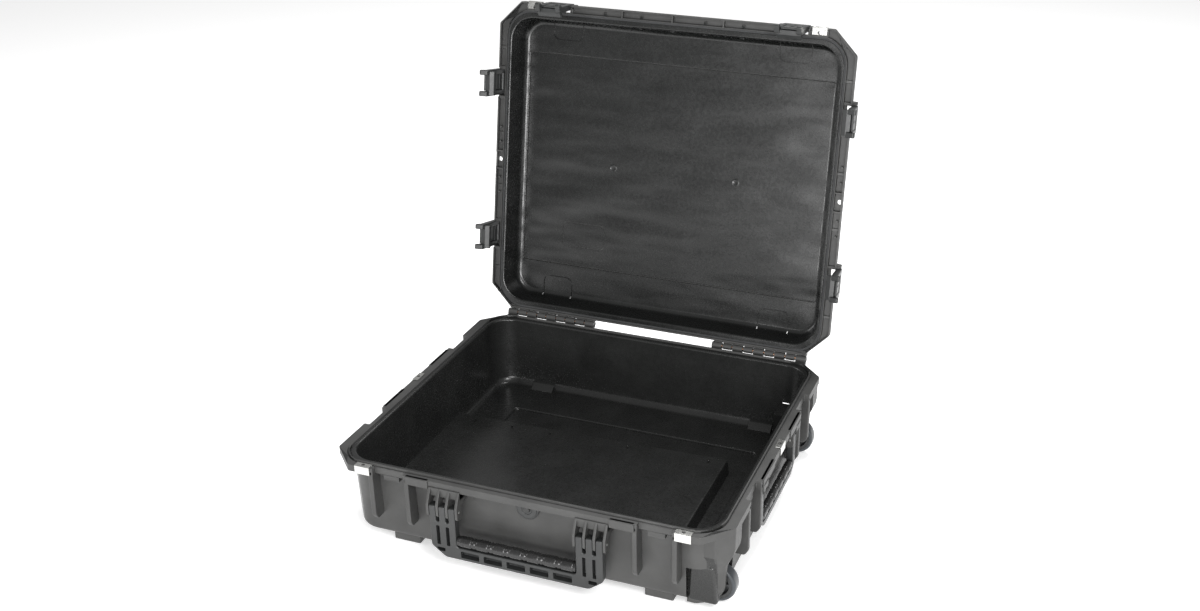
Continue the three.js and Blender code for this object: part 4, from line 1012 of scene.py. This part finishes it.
def build_tow():
    place = CASE @ Matrix.Translation((0, TOW_Y, TOW_Z))
    half, leg = TOW_HALF, TOW_LEG
    outline = rounded([(-332, -half, 14), (-332, half, 14), (-288, half, 4), (-288, leg - 13, 2),
                       (-314, leg - 13, 8), (-314, 13 - leg, 8), (-288, 13 - leg, 2), (-288, -half, 4)])
    grip = cut(prism(outline, "xy", -9, 9, 2.4, 4), block(-336, -313, -17.4, 17.4, -5.4, 5.4, 0))
    piece("tow_bar", grip, LATCH_PLASTIC, "tow_handle", ["tow_grip"], place)
    button = block(-335, -319, -17, 17, -5, 5, 1.4)
    piece("tow_release", button, GRIP_RUBBER, "tow_button", ["tow_button"], place)


def dress_cad_nodes():
    """The CAD nodes that stay get the same finishes."""
    for name, node in frame["nodes"].items():
        if "tube" in name:
            material = ALUMINIUM
        elif name.startswith("cover_screw"):
            material = SCREW_STEEL
        elif name == "tow_channel_cover":
            material = UNDER_PLASTIC
        else:
            continue
        node.data.materials.clear()
        node.data.materials.append(material)


# ---- studio ----
def area_light(name, place, target, size, power, size_y=None):
    """Soft light at a place, in metres, aimed at a target."""
    data = bpy.data.lights.new(name, "AREA")
    data.energy = power
    data.shape = "RECTANGLE"
    data.size = size
    data.size_y = size_y or size
    light = bpy.data.objects.new(name, data)
    light.location = place
    light.rotation_euler = (Vector(target) - Vector(place)).to_track_quat("-Z", "Y").to_euler()
    bpy.context.scene.collection.objects.link(light)


def build_floor():
    floor = bmesh.new()
    bmesh.ops.create_grid(floor, x_segments=1, y_segments=1, size=12)
    mesh = bpy.data.meshes.new("floor")
    floor.to_mesh(mesh)
    floor.free()
    ground = bpy.data.objects.new("floor", mesh)
    ground.location.z = -0.0005
    bpy.context.scene.collection.objects.link(ground)
    paper = bpy.data.materials.new("paper")
    paper.use_nodes = True
    sheet = paper.node_tree.nodes["Principled BSDF"].inputs
    sheet["Base Color"].default_value = (0.93, 0.93, 0.93, 1)
    sheet["Roughness"].default_value = 0.9
    sheet["Emission Color"].default_value = (1, 1, 1, 1)
    sheet["Emission Strength"].default_value = 0.35
    mesh.materials.append(paper)


def build_world():
    """White backdrop that lights the case less than it shows to the camera."""
    world = bpy.data.worlds.new("studio")
    bpy.context.scene.world = world
    world.use_nodes = True
    nodes, links = world.node_tree.nodes, world.node_tree.links
    nodes["Background"].inputs["Color"].default_value = (1, 1, 1, 1)
    seen = nodes.new("ShaderNodeLightPath")
    strength = nodes.new("ShaderNodeMapRange")
    strength.inputs["To Min"].default_value = 0.4
    strength.inputs["To Max"].default_value = 1.2
    links.new(seen.outputs["Is Camera Ray"], strength.inputs["Value"])
    links.new(strength.outputs["Result"], nodes["Background"].inputs["Strength"])


def build_lights():
    area_light("key", (1.9, -2.0, 2.4), (0, 0, 0.2), 1.0, 55)
    area_light("low", (0.7, -3.0, 0.7), (0.05, -0.3, 0.1), 1.8, 85, 0.8)
    area_light("fill", (-2.6, -0.9, 1.4), (0, 0, 0.3), 1.2, 22)
    area_light("top", (0.4, 1.3, 3.0), (0.1, 0, 0.0), 1.3, 100)


def build_camera():
    """Camera in front of the open case, a little to its right and above it."""
    azimuth, elevation, roll = (math.radians(a) for a in (19.29, 24.86, 0.39))
    level = math.cos(elevation)
    back = Vector((math.sin(azimuth) * level, -math.cos(azimuth) * level, math.sin(elevation)))
    right = (-back).cross(Vector((0, 0, 1))).normalized()
    up = right.cross(-back)
    turned_right = math.cos(roll) * right + math.sin(roll) * up
    turned_up = -math.sin(roll) * right + math.cos(roll) * up
    eye = 156.34 * turned_right + 201.45 * turned_up + 2300.78 * back + Vector((0, 0, RIM))
    data = bpy.data.cameras.new("camera")
    data.sensor_width = 36
    data.lens = 40.79
    data.shift_x = -0.0699
    data.shift_y = -0.0129
    data.clip_end = 50
    camera = bpy.data.objects.new("camera", data)
    turn = Matrix((turned_right, turned_up, back)).transposed().to_4x4()
    camera.matrix_world = Matrix.Translation(CASE @ eye) @ turn
    bpy.context.scene.collection.objects.link(camera)
    bpy.context.scene.camera = camera


build_camera()
build_floor()
build_world()
build_lights()
build_base()
build_lid()
build_latches()
build_handles()
build_wheels()
build_fittings()
build_valve()
build_tow()
dress_cad_nodes()
bpy.context.scene.view_settings.view_transform = "Standard"
